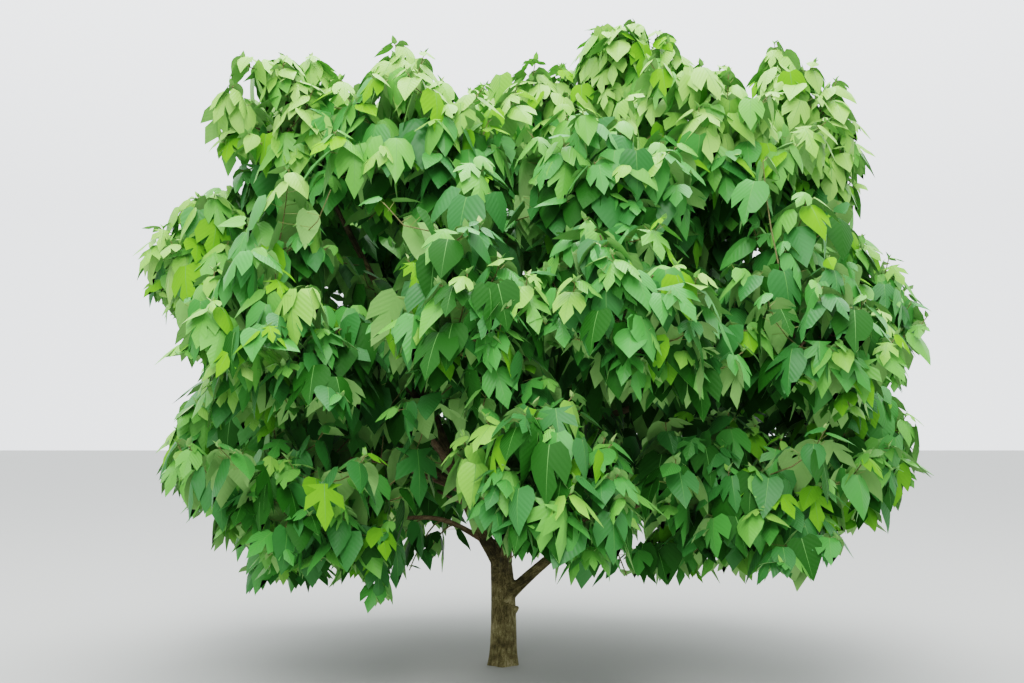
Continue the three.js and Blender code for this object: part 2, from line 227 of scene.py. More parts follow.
MASSES: dict[str, Mass] = {
    "peak": Mass((0.745, 0.15, 3.345), (0.36, 0.43, 0.43), 14, Region.TOP_RIGHT),
    "top_left": Mass((-1.08, -0.25, 2.87), (0.66, 0.62, 0.58), 18, Region.TOP_LEFT),
    "top_centre": Mass((-0.42, -0.5, 2.81), (0.6, 0.58, 0.53), 18, Region.TOP_LEFT),
    "top_middle": Mass((0.19, 0.25, 3.02), (0.54, 0.54, 0.5), 16, Region.TOP_RIGHT),
    "upper_middle": Mass((0.54, -0.78, 2.56), (0.47, 0.5, 0.45), 14, Region.FRONT),
    "top_right": Mass((1.11, -0.3, 2.85), (0.6, 0.62, 0.55), 16, Region.TOP_RIGHT),
    "top_far_right": Mass((1.7, 0.08, 2.87), (0.41, 0.56, 0.72), 16, Region.TOP_RIGHT),
    "left_shoulder": Mass((-1.62, -0.12, 2.2), (0.45, 0.56, 0.5), 16, Region.LEFT),
    "left_front": Mass((-1.1, -1.05, 1.74), (0.6, 0.62, 0.58), 18, Region.LEFT),
    "left_skirt": Mass((-0.95, -0.8, 0.9), (0.56, 0.64, 0.51), 18, Region.LEFT),
    "centre_left": Mass((-0.15, -1.43, 1.8), (0.44, 0.48, 0.57), 16, Region.FRONT),
    "centre_right": Mass((0.56, -1.43, 1.85), (0.53, 0.56, 0.54), 16, Region.FRONT),
    "front_low": Mass((0.2, -1.64, 1.08), (0.47, 0.47, 0.5), 16, Region.FRONT),
    "right_front": Mass((1.48, -0.85, 1.76), (0.6, 0.64, 0.58), 16, Region.RIGHT),
    "right_shoulder": Mass((2.02, 0.15, 1.93), (0.45, 0.6, 0.54), 16, Region.RIGHT),
    "right_skirt": Mass((1.16, -0.8, 0.96), (0.65, 0.62, 0.45), 18, Region.RIGHT),
    "right_edge": Mass((1.89, -0.23, 1.28), (0.42, 0.5, 0.52), 14, Region.RIGHT),
    "back_left": Mass((-1.38, 0.82, 1.64), (0.6, 0.64, 0.62), 16, Region.BACK),
    "back_centre": Mass((0.05, 1.52, 1.82), (0.7, 0.6, 0.6), 18, Region.BACK),
    "back_right": Mass((1.33, 1.08, 1.7), (0.64, 0.62, 0.6), 16, Region.BACK),
    "back_top_left": Mass((-0.78, 0.85, 2.56), (0.66, 0.64, 0.52), 16, Region.BACK_TOP),
    "back_top_right": Mass((0.8, 0.95, 2.68), (0.64, 0.62, 0.5), 16, Region.BACK_TOP),
    "back_low_left": Mass((-0.68, 1.15, 1.0), (0.62, 0.58, 0.45), 16, Region.BACK_LOW),
    "back_low_right": Mass((0.64, 1.15, 1.02), (0.62, 0.58, 0.44), 16, Region.BACK_LOW),
    "left_low": Mass((-1.56, 0.05, 1.15), (0.43, 0.52, 0.51), 14, Region.LEFT),
}

MIDDLES = np.array([mass.at for mass in MASSES.values()])
SIZES = np.array([mass.size for mass in MASSES.values()])
POWERS = np.array([mass.size[0] * mass.size[2] for mass in MASSES.values()])


@dataclass(frozen=True)
class Limb:
    """A limb: what it leaves and where, the mass it ends in, its two radii and the points it passes."""

    parent: str
    leaves: float
    mass: str
    radii: tuple[float, float]
    via: tuple[Triple, ...]


LIMBS: dict[str, Limb] = {
    "limb_centre": Limb("trunk", 0.93, "peak", (0.05, 0.019), ((0.06, 0.04, 1.1), (0.345, 0.085, 2.05))),
    "limb_left": Limb("trunk", 0.9, "top_left", (0.042, 0.017), ((-0.15, -0.025, 0.8), (-0.6, -0.06, 1.9))),
    "limb_right": Limb(
        "trunk", 0.6, "right_skirt", (0.036, 0.015), ((0.255, -0.025, 0.59), (0.64, -0.19, 0.9))
    ),
    "limb_back": Limb("trunk", 0.84, "back_centre", (0.04, 0.017), ((0.03, 0.22, 0.78), (0.04, 0.72, 1.29))),
    "limb_front": Limb(
        "trunk", 0.78, "front_low", (0.027, 0.013), ((0.025, -0.25, 0.74), (0.08, -0.8, 1.05))
    ),
    "limb_upper_right": Limb(
        "limb_centre", 0.14, "top_right", (0.038, 0.016), ((0.26, -0.04, 1.15), (0.72, -0.13, 1.9))
    ),
    "limb_back_left": Limb("limb_back", 0.12, "back_left", (0.03, 0.015), ((-0.26, 0.33, 0.96),)),
    "bough_left_skirt": Limb("limb_left", 0.07, "left_skirt", (0.018, 0.011), ((-0.33, -0.12, 0.82),)),
    "bough_left_front": Limb("limb_left", 0.25, "left_front", (0.025, 0.014), ((-0.44, -0.33, 1.33),)),
    "bough_left_shoulder": Limb("limb_left", 0.45, "left_shoulder", (0.021, 0.013), ((-0.86, -0.11, 1.88),)),
    "bough_back_top_left": Limb("limb_left", 0.36, "back_top_left", (0.023, 0.014), ((-0.56, 0.26, 1.9),)),
    "bough_top_centre": Limb("limb_centre", 0.42, "top_centre", (0.026, 0.014), ((0.06, -0.16, 2.03),)),
    "bough_top_middle": Limb("limb_centre", 0.36, "top_middle", (0.022, 0.013), ((0.06, 0.17, 2.02),)),
    "bough_back_top_right": Limb("limb_centre", 0.5, "back_top_right", (0.024, 0.014), ((0.43, 0.42, 2.13),)),
    "bough_centre_left": Limb("limb_centre", 0.17, "centre_left", (0.024, 0.013), ((-0.04, -0.52, 1.42),)),
    "bough_centre_right": Limb(
        "limb_upper_right", 0.16, "centre_right", (0.024, 0.013), ((0.33, -0.56, 1.42),)
    ),
    "bough_upper_middle": Limb("limb_upper_right", 0.45, "upper_middle", (0.02, 0.012), ((0.56, -0.4, 2.0),)),
    "bough_right_front": Limb("limb_upper_right", 0.3, "right_front", (0.024, 0.013), ((0.85, -0.38, 1.5),)),
    "bough_right_shoulder": Limb(
        "limb_upper_right", 0.4, "right_shoulder", (0.023, 0.013), ((1.08, 0.03, 1.64),)
    ),
    "bough_far_right": Limb("limb_upper_right", 0.62, "top_far_right", (0.021, 0.012), ((1.12, 0.02, 2.35),)),
    "bough_right_edge": Limb("limb_right", 0.45, "right_edge", (0.02, 0.012), ((0.98, -0.12, 1.01),)),
    "bough_back_right": Limb("limb_back", 0.3, "back_right", (0.026, 0.014), ((0.52, 0.56, 1.24),)),
    "bough_back_low_right": Limb("limb_back", 0.2, "back_low_right", (0.019, 0.012), ((0.3, 0.6, 0.86),)),
    "bough_back_low_left": Limb("limb_back_left", 0.2, "back_low_left", (0.018, 0.011), ((-0.3, 0.6, 0.88),)),
    "bough_left_low": Limb("limb_back_left", 0.34, "left_low", (0.018, 0.011), ((-0.76, 0.3, 1.13),)),
}


def in_cell(mass: Mass, point: np.ndarray, margin: float) -> bool:
    """Whether a point lies on a mass's side of the flat borders with the other masses.

    Args:
        mass: The mass.
        point: The point.
        margin: How far inside the borders it has to be, or how far outside it may be where negative.

    Returns:
        True where it lies inside.
    """
    powers = np.sum((MIDDLES - point) ** 2, axis=1) - POWERS
    own = np.sum((point - np.array(mass.at)) ** 2) - mass.size[0] * mass.size[2]
    apart = np.linalg.norm(MIDDLES - np.array(mass.at), axis=1)
    others = apart > 0
    return bool(np.all((powers[others] - own) / (2 * apart[others]) > margin))


class Wiring:
    """A node tree, drawn one node after another."""

    def __init__(self, tree: bpy.types.NodeTree) -> None:
        """Keeps the tree."""
        self.tree = tree

    def fill(self, node: bpy.types.Node, values: dict[str | int, Any]) -> None:
        """Gives a node's inputs their values, or links them to the outputs that are given."""
        for key, value in values.items():
            if isinstance(value, bpy.types.NodeSocket):
                self.tree.links.new(value, node.inputs[key])
            else:
                node.inputs[key].default_value = value

    def add(self, kind: str, values: dict[str | int, Any], operation: str = "") -> bpy.types.Node:
        """Adds a node.

        Args:
            kind: Its type, without the two words that every type starts with.
            values: The value of each input, or the output that is linked to it.
            operation: What it does, where its type gives a choice.

        Returns:
            The node.
        """
        made = self.tree.nodes.new(f"ShaderNode{kind}")
        if operation:
            made.operation = operation
        self.fill(made, values)
        return made

    def ramp(self, pattern: bpy.types.NodeSocket, marks: dict[float, Triple]) -> bpy.types.NodeSocket:
        """The colours of a pattern.

        Args:
            pattern: The pattern.
            marks: The colour at each of the pattern's values, from the lowest up.

        Returns:
            The colour's output.
        """
        made = self.add("ValToRGB", {"Fac": pattern})
        places, drawn = list(marks), made.color_ramp.elements
        drawn[0].position, drawn[1].position = places[0], places[-1]
        for place in places[1:-1]:
            drawn.new(place)
        for mark, colour in zip(sorted(drawn, key=lambda one: one.position), marks.values()):
            mark.color = (*colour, 1.0)
        return made.outputs["Color"]


def new_skin(name: str, roughness: float, gloss: float) -> tuple[bpy.types.Material, Wiring, bpy.types.Node]:
    """A new material with its roughness and gloss, its wiring, and its shader."""
    made = bpy.data.materials.new(name)
    made.use_nodes = True
    wiring, skin = Wiring(made.node_tree), made.node_tree.nodes["Principled BSDF"]
    wiring.fill(skin, {"Roughness": roughness, "Specular IOR Level": gloss})
    return made, wiring, skin


@dataclass(frozen=True)
class BarkFinish:
    """Bark: its colours from furrow to ridge, its grain, its relief, and the painted shade that darkens it
    with height.
    """

    name: str
    colours: tuple[Triple, Triple, Triple, Triple]
    grain: float
    stretch: float
    roughness: float
    relief: float
    painted_shade: float = 0.0
    darkest_height: float = 0.6
    gloss: float = 0.25
    marks: tuple[float, float, float, float] = (0.38, 0.47, 0.53, 0.61)
    patches: tuple[float, float] = (0.09, 3.0)
    specks: tuple[float, float] = (2.6, 4.0)

    def material(self) -> bpy.types.Material:
        """The bark as a material that follows each limb by the piece's own attribute."""
        made, wiring, skin = new_skin(self.name, self.roughness, self.gloss)
        attribute = wiring.add("Attribute", {})
        attribute.attribute_name = Wood.PLACE
        place = attribute.outputs["Vector"]
        along = wiring.add("Mapping", {"Vector": place, "Scale": (1.0, 1.0, self.stretch)})
        layers = ((place, *self.patches), (along.outputs["Vector"], 1.0, 8.0), (place, *self.specks))
        patches, grain, specks = (
            wiring.add("TexNoise", {
                "Vector": vector, "Scale": self.grain * scale, "Detail": detail, "Roughness": 0.62,
            }).outputs["Fac"]
            for vector, scale, detail in layers
        )
        mixed = grain
        for pattern, share in ((specks, 0.45), (patches, 0.4)):
            mixed = wiring.add("Mix", {"Factor": share, "A": mixed, "B": pattern}).outputs["Result"]
        coordinates = wiring.add("TexCoord", {})
        parts = wiring.add("SeparateXYZ", {"Vector": coordinates.outputs["Object"]})
        # Painted shade: the bark darkens with height, from half the darkest height up to it, as under the
        # crown.
        height = wiring.add("MapRange", {
            "Value": parts.outputs["Z"], "From Min": self.darkest_height * 0.5,
            "From Max": self.darkest_height, "To Max": self.painted_shade,
        })
        shaded_pattern = wiring.add("Math", {0: mixed, 1: height.outputs["Result"]}, "SUBTRACT")
        bump = wiring.add("Bump", {"Height": mixed, "Distance": self.relief, "Strength": 0.8})
        wiring.fill(skin, {
            "Base Color": wiring.ramp(shaded_pattern.outputs[0], dict(zip(self.marks, self.colours))),
            "Normal": bump.outputs["Normal"],
        })
        return made


@dataclass(frozen=True)
class LeafFinish:
    """One side of a leaf: its plain colour, its gloss, its down and its veins' relief."""

    name: str
    colour: Triple
    roughness: float = 0.48
    gloss: float = 0.5
    down: float = 0.0
    veins: float = 0.0009

    def material(self) -> bpy.types.Material:
        """The side as a material, with side veins that run forward from the midrib."""
        made, wiring, skin = new_skin(self.name, self.roughness, self.gloss)
        wiring.fill(skin, {
            "Base Color": (*self.colour, 1.0), "Sheen Weight": self.down, "Sheen Roughness": 0.6,
        })
        if self.veins:
            sheet = wiring.add("UVMap", {})
            sheet.uv_map = Sprays.SHEET
            parts = wiring.add("SeparateXYZ", {"Vector": sheet.outputs["UV"]})
            aside = wiring.add("Math", {0: parts.outputs["X"], 1: 0.5}, "SUBTRACT")
            out = wiring.add("Math", {0: aside.outputs[0]}, "ABSOLUTE")
            forward = wiring.add("Math", {0: parts.outputs["Y"], 1: out.outputs[0]}, "SUBTRACT")
            along = wiring.add("CombineXYZ", {"X": forward.outputs[0]})
            bands = wiring.add("TexWave", {
                "Vector": along.outputs[0], "Scale": 2.4, "Distortion": 0.6, "Detail": 1.0,
            })
            bump = wiring.add("Bump", {
                "Height": bands.outputs["Fac"], "Distance": self.veins, "Strength": 0.6,
            })
            wiring.fill(skin, {"Normal": bump.outputs["Normal"]})
        return made


class Tint(Enum):
    """The plain greens that leaves are dealt, dark to light: painted shade in the crown's inside, painted
    light on its top and outer shoots, young leaves a step lighter; LIT is painted light shining through a
    leaf.
    """

    DEEP = LeafFinish("leaf_deep", (0.018, 0.095, 0.007), 0.55, 0.15)
    BLUE = LeafFinish("leaf_blue_green", (0.038, 0.176, 0.032), 0.42, 0.3, 0.03)
    MID = LeafFinish("leaf_mid_green", (0.070, 0.285, 0.044), 0.42, 0.34, 0.04)
    SOFT = LeafFinish("leaf_soft_green", (0.140, 0.405, 0.060), 0.44, 0.34, 0.04)
    FRESH = LeafFinish("leaf_fresh_green", (0.215, 0.485, 0.072), 0.46, 0.34, 0.04)
    BRIGHT = LeafFinish("leaf_light_green", (0.275, 0.530, 0.110), 0.5, 0.34, 0.04)
    LIT = LeafFinish("leaf_lit_through", (0.145, 0.390, 0.018), 0.6, 0.15)
    YOUNG = LeafFinish("leaf_young", (0.340, 0.500, 0.160), 0.6, 0.35, 0.1)


# The underside's green is partly its own paler colour and partly painted light shining through the leaf.
UNDERSIDE = LeafFinish("leaf_underside", (0.270, 0.510, 0.150), 0.75, 0.25, 0.05)
RIB = LeafFinish("leaf_midrib", (0.115, 0.315, 0.062), 0.55, 0.4, 0.0, 0.0)
STALK = LeafFinish("leaf_stalk", (0.300, 0.330, 0.110), 0.6, 0.35, 0.0, 0.0)
LEAF_FINISHES = [*(tint.value for tint in Tint), UNDERSIDE, RIB]
FIRST_BACK = len(Tint)
GREENS = 6

# The trunk's bark, with painted shade that darkens it higher up, under the crown.
BARK = BarkFinish(
    "bark_grey_brown",
    ((0.036, 0.030, 0.012), (0.115, 0.096, 0.040), (0.225, 0.192, 0.088), (0.390, 0.345, 0.190)),
    grain=95.0, stretch=0.28, roughness=0.9, relief=0.004, painted_shade=0.055,
)
YOUNG_BARK = BarkFinish(
    "bark_young_brown",
    ((0.060, 0.042, 0.022), (0.125, 0.088, 0.048), (0.185, 0.135, 0.078), (0.270, 0.205, 0.125)),
    grain=120.0, stretch=0.22, roughness=0.82, relief=0.002,
)


@dataclass(frozen=True)
class TwigFinish:
    """A twig's thin bark: its two colours, and how fine it is mottled."""

    name: str
    colours: tuple[Triple, Triple]
    grain: float

    def material(self) -> bpy.types.Material:
        """The thin bark as a material on the piece's own coordinates."""
        made, wiring, skin = new_skin(self.name, 0.75, 0.3)
        place = wiring.add("TexCoord", {}).outputs["Object"]
        mottle = wiring.add("TexNoise", {"Vector": place, "Scale": self.grain, "Detail": 4.0})
        colours = wiring.ramp(mottle.outputs["Fac"], dict(zip((0.35, 0.65), self.colours)))
        wiring.fill(skin, {"Base Color": colours})
        return made


TWIG = TwigFinish("twig_brown", ((0.085, 0.060, 0.032), (0.200, 0.150, 0.085)), 160.0)
SHOOT = TwigFinish("shoot_green_brown", ((0.140, 0.125, 0.050), (0.260, 0.230, 0.100)), 140.0)
TWIG_SLOT, SHOOT_SLOT, STALK_SLOT = range(3)


class Sprays:
    """Many small closed shapes, gathered into the arrays of one mesh."""

    SHEET = "leaf_sheet"
    SMOOTHED = math.radians(60)

    def __init__(self) -> None:
        """Starts with nothing gathered."""
        self.corners: list[np.ndarray] = []
        self.loops: list[np.ndarray] = []
        self.sides: list[np.ndarray] = []
        self.finishes: list[np.ndarray] = []
        self.sheet: list[np.ndarray] = []
        self.count = 0

    def add(self, corners: np.ndarray, loops: np.ndarray, sides: np.ndarray, finishes: np.ndarray,
            sheet: np.ndarray | None = None) -> None:
        """Adds one closed shape.

        Args:
            corners: Its corners.
            loops: The corners of its faces, one face after another.
            sides: How many corners each face has.
            finishes: The material slot of each face.
            sheet: The flat place of each of the loops.
        """
        self.corners.append(corners)
        self.loops.append(loops + self.count)
        self.sides.append(sides)
        self.finishes.append(finishes)
        self.sheet.append(np.zeros((len(loops), 2)) if sheet is None else sheet)
        self.count += len(corners)

    def tube(self, centres: np.ndarray, radii: np.ndarray, sides: int, finish: int) -> None:
        """Adds a closed tube with flat ends.

        Args:
            centres: The middles of its rings.
            radii: The radius of each ring.
            sides: How many faces it has round it.
            finish: Its material slot.
        """
        corners = rings(centres, radii, sides).reshape(-1, 3)
        last = (len(centres) - 1) * sides
        k = np.arange(sides)
        after = (k + 1) % sides
        one = np.stack([k, k + sides, after + sides, after], axis=1)
        walls = (one[None] + (np.arange(len(centres) - 1) * sides)[:, None, None]).reshape(-1)
        loops = np.concatenate([walls, k, last + k[::-1]])
        counts = np.array([4] * (len(walls) // 4) + [sides, sides])
        self.add(corners, loops, counts, np.full(len(counts), finish))

    def build(self, name: str, materials: list[bpy.types.Material]) -> bpy.types.Object:
        """The gathered shapes as one mesh object.

        Args:
            name: The piece's name.
            materials: The material of each slot.

        Returns:
            The piece, at the origin.
        """
        loops = np.concatenate(self.loops).astype(np.int32)
        sides = np.concatenate(self.sides).astype(np.int32)
        mesh = bpy.data.meshes.new(name)
        mesh.vertices.add(self.count)
        mesh.vertices.foreach_set("co", np.concatenate(self.corners).astype(np.float32).ravel())
        mesh.loops.add(len(loops))
        mesh.loops.foreach_set("vertex_index", loops)
        mesh.polygons.add(len(sides))
        mesh.polygons.foreach_set("loop_start", np.concatenate([[0], np.cumsum(sides)[:-1]]).astype(np.int32))
        mesh.polygons.foreach_set("material_index", np.concatenate(self.finishes).astype(np.int32))
        sheet = mesh.uv_layers.new(name=self.SHEET)
        sheet.uv.foreach_set("vector", np.concatenate(self.sheet).astype(np.float32).ravel())
        mesh.update(calc_edges=True)
        mesh.validate()
        for material in materials:
            mesh.materials.append(material)
        piece = bpy.data.objects.new(name, mesh)
        bpy.context.scene.collection.objects.link(piece)
        only(piece)
        bpy.ops.object.shade_smooth_by_angle(angle=self.SMOOTHED)
        return piece


def only(piece: bpy.types.Object) -> None:
    """Selects this object alone and makes it the active one."""
    bpy.ops.object.select_all(action="DESELECT")
    piece.select_set(True)
    bpy.context.view_layer.objects.active = piece


def rings(centres: np.ndarray, radii: np.ndarray, sides: int) -> np.ndarray:
    """The corners of a tube's rings, turned evenly along it.

    Args:
        centres: The middles of the rings.
        radii: The radius of each.
        sides: How many corners each has.

    Returns:
        An array of rings by corners by three.
    """
    ways = np.gradient(centres, axis=0)
    ways /= np.linalg.norm(ways, axis=1)[:, None]
    side = unit(np.cross(ways[0], [0.0, 1.0, 0.0] if abs(ways[0][1]) < 0.9 else [1.0, 0.0, 0.0]))
    angles = np.linspace(0, 2 * math.pi, sides, endpoint=False)
    found = []
    for centre, way, radius in zip(centres, ways, radii):
        side = unit(side - way * np.dot(side, way))
        other = np.cross(way, side)
        found.append(centre + radius * (np.cos(angles)[:, None] * side + np.sin(angles)[:, None] * other))
    return np.array(found)


@dataclass
class Wood:
    """The trunk and its limbs, each a smooth tapering line with the bark's relief, grown into each other."""

    PLACE = "bark_place"
    FURROWS = ((2.2, 3.5, 0.0), (6.5, 14.0, 0.0), (1.0, 9.0, 7.0))

    fork_height: float = 0.62
    trunk_radius: float = 0.072
    fork_radius: float = 0.056
    lean: tuple[float, float] = (-0.014, 0.010)
    root_flare: float = 0.2
    flare_height: float = 0.09
    root_ridges: int = 5
    ridge_depth: float = 0.09
    below_cut: float = 0.03
    taper: float = 0.8
    collar: float = 0.3
    collar_length: float = 0.07
    ring_step: float = 0.025
    limb_grain: float = 0.006
    bough_grain: float = 0.0062
    kept_faces: float = 0.28
    bark_smoothed: float = math.radians(50)
    end_shares: tuple[float, ...] = (0.8, 0.7, 0.6, 0.5, 0.4, 0.3, 0.2)
    end_margin: float = 0.07
    sample_step: float = 0.01
    snag: tuple[tuple[Triple, float], ...] = (
        ((0.045, -0.02, 0.285), 0.022), ((0.074, -0.028, 0.312), 0.015), ((0.087, -0.032, 0.328), 0.009),
    )
    lines: dict[str, Line] = field(default_factory=dict)

    def __post_init__(self) -> None:
        """Works out every limb's line, from the trunk up."""
        h = self.fork_height
        self.lines["trunk"] = Line.through(
            [(0, 0, -self.below_cut), (0.003, 0, h * 0.35), (0, 0.002, h * 0.65), (*self.lean, h)]
        )
        for name, limb in LIMBS.items():
            start = self.lines[limb.parent].on_straights(self.model_steps(limb.parent), limb.leaves)
            end = self.entry(MASSES[limb.mass], np.array(limb.via[-1]))
            self.lines[name] = Line.through([start, *limb.via, end])

    @staticmethod
    def model_steps(name: str) -> int:
        """How many straight stretches the model's own tube has."""
        return {"trunk": 7, "limb": 6, "bough": 5}[name.split("_")[0]]

    def entry(self, mass: Mass, origin: np.ndarray) -> np.ndarray:
        """Where a limb ends: just inside the mass's space, on the side that it comes from.

        Args:
            mass: The mass.
            origin: The last point that the limb passes.

        Returns:
            The limb's end.
        """
        middle = np.array(mass.at)
        edge = middle + (origin - middle) / mass.reach(origin)
        ends = [middle + (edge - middle) * share for share in self.end_shares]
        return next((end for end in ends if in_cell(mass, end, self.end_margin)), ends[-1])

    def radius(self, name: str, share: float) -> float:
        """A limb's radius at a share of its length, without relief."""
        if name == "trunk":
            flare = math.exp(-self._height(share) / self.flare_height)
            return lerp(self.trunk_radius, self.fork_radius, share**4) * (1 + self.root_flare * flare)
        thick, thin = LIMBS[name].radii
        swelling = 1 + self.collar * math.exp(-share * self.lines[name].length / self.collar_length)
        return lerp(thick, thin, share**self.taper) * swelling

    def _height(self, share: float) -> float:
        """The height above the ground at a share of the trunk."""
        return share * (self.fork_height + self.below_cut) - self.below_cut

    def samples(self, names: Iterable[str]) -> tuple[np.ndarray, np.ndarray, list[tuple[str, float]]]:
        """Close points along the named limbs.

        Args:
            names: The limbs.

        Returns:
            The points, the limb's radius at each, and each one's limb and share.
        """
        points, radii, owners = [], [], []
        for name in names:
            line = self.lines[name]
            for share in np.linspace(0, 1, math.ceil(line.length / self.sample_step)):
                points.append(line.at(share))
                radii.append(self.radius(name, float(share)))
                owners.append((name, float(share)))
        return np.array(points), np.array(radii), owners

    def _rods(self, names: list[str]) -> bpy.types.Object:
        """The named limbs as one mesh of round rods, drawn as curves with a radius at each point."""
        bpy.ops.object.select_all(action="DESELECT")
        bpy.ops.curve.primitive_bezier_curve_add()
        drawn = bpy.context.active_object
        drawn.data.splines.clear()
        drawn.data.bevel_depth = 1.0
        drawn.data.bevel_resolution = 6
        drawn.data.use_fill_caps = True
        drawn.data.dimensions = "3D"
        for name in names:
            line = self.lines[name]
            shares = np.linspace(0, 1, math.ceil(line.length / self.ring_step))
            self._draw(drawn, line.at(shares), [self.radius(name, float(share)) for share in shares])
        if "trunk" in names:
            self._draw(drawn, *zip(*self.snag))
        bpy.ops.object.convert(target="MESH")
        return bpy.context.active_object

    @staticmethod
    def _draw(drawn: bpy.types.Object, places: Sequence[Triple], radii: Sequence[float]) -> None:
        """Draws one rod through the places, with a radius at each."""
        spline = drawn.data.splines.new("POLY")
        spline.points.add(len(places) - 1)
        for point, place, radius in zip(spline.points, places, radii):
            point.co = (*place, 1.0)
            point.radius = radius

    @staticmethod
    def _modify(piece: bpy.types.Object, kind: str, settings: dict[str, Any]) -> None:
        """Applies one modifier, with its settings, to a piece."""
        only(piece)
        modifier = piece.modifiers.new(kind.lower(), kind)
        for key, value in settings.items():
            setattr(modifier, key, value)
        bpy.ops.object.modifier_apply(modifier=modifier.name)

    def _relief(self, piece: bpy.types.Object, names: list[str]) -> None:
        """Moves the skin out and in along itself, as furrows, knots and root ridges, and marks where it is.

        Args:
            piece: The fused skin.
            names: The limbs that it is made of.
        """
        points, radii, owners = self.samples(names)
        tree = tree_of(points)
        mesh = piece.data
        place = mesh.attributes.new(self.PLACE, "FLOAT_VECTOR", "POINT")
        marks = np.zeros((len(mesh.vertices), 3), np.float32)
        moved = np.zeros((len(mesh.vertices), 3), np.float32)
        for vertex in mesh.vertices:
            _, i, _ = tree.find(vertex.co)
            name, share = owners[i]
            line = self.lines[name]
            out = np.array(vertex.co) - points[i]
            way = line.heading(share) if name != "trunk" else UP
            out -= way * np.dot(out, way)
            reach = max(float(np.linalg.norm(out)), 1e-6)
            level = share * line.length
            side = out / reach * radii[i]
            marks[vertex.index] = side + UP * level
            lift = self._furrow(name, side, level, radii[i])
            if name == "trunk":
                angle = math.atan2(-side[0], -side[1])
                flare = math.exp(-max(self._height(share), 0) / self.flare_height)
                lift += radii[i] * self.ridge_depth * flare * math.cos(self.root_ridges * angle)
            moved[vertex.index] = np.array(vertex.co) + np.array(vertex.normal) * lift
        place.data.foreach_set("vector", marks.ravel())
        mesh.vertices.foreach_set("co", moved.ravel())
        mesh.update()

    @staticmethod
    def _furrow(name: str, side: np.ndarray, level: float, radius: float) -> float:
        """How far the bark stands out at a place: long shallow furrows, fine ones, and knots."""
        x, y, z = Vector(side / radius)
        depth = radius * (0.028 if name == "trunk" else 0.04)
        long, fine, knots = (
            noise.noise(Vector((x * scale + shift, y * scale, z * scale + level * run)))
            for scale, run, shift in Wood.FURROWS
        )
        return depth * (long + 0.5 * fine + 1.4 * max(knots - 0.35, 0))

    def build(self) -> list[bpy.types.Object]:
        """The skins of bark: the trunk with its main limbs, and the boughs.

        Returns:
            The two pieces.
        """
        main = [name for name in self.lines if not name.startswith("bough")]
        rest = [name for name in self.lines if name.startswith("bough")]
        built = []
        for label, names, grain, finish, slot in (
            ("trunk_and_limbs", main, self.limb_grain, BARK, "bark"),
            ("boughs", rest, self.bough_grain, YOUNG_BARK, "young_bark"),
        ):
            piece = self._rods(names)
            piece.name = piece.data.name = label
            self._modify(piece, "REMESH", {"mode": "VOXEL", "voxel_size": grain})
            self._modify(piece, "SMOOTH", {"factor": 0.5, "iterations": 5})
            self._relief(piece, names)
            self._modify(piece, "DECIMATE", {"ratio": self.kept_faces})
            if "trunk" in names:
                self._cut_at_ground(piece)
            piece.data.materials.clear()
            piece.data.materials.append(finish.material())
            only(piece)
            bpy.ops.object.shade_smooth_by_angle(angle=self.bark_smoothed)
            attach(piece, "root")
            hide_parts(*names)
            built.append(piece)
        return built

    @staticmethod
    def _cut_at_ground(piece: bpy.types.Object) -> None:
        """Cuts the trunk flat at the ground and closes the cut."""
        only(piece)
        bpy.ops.object.mode_set(mode="EDIT")
        bpy.ops.mesh.select_all(action="SELECT")
        bpy.ops.mesh.bisect(plane_co=(0, 0, 0), plane_no=(0, 0, 1), use_fill=True, clear_inner=True)
        bpy.ops.object.mode_set(mode="OBJECT")


@dataclass(frozen=True)
class LeafPattern:
    """One modelled leaf as arrays, a unit long, its stalk's end at the origin and its tip along +Y."""

    corners: np.ndarray
    loops: np.ndarray
    sides: np.ndarray
    layers: np.ndarray
    sheet: np.ndarray


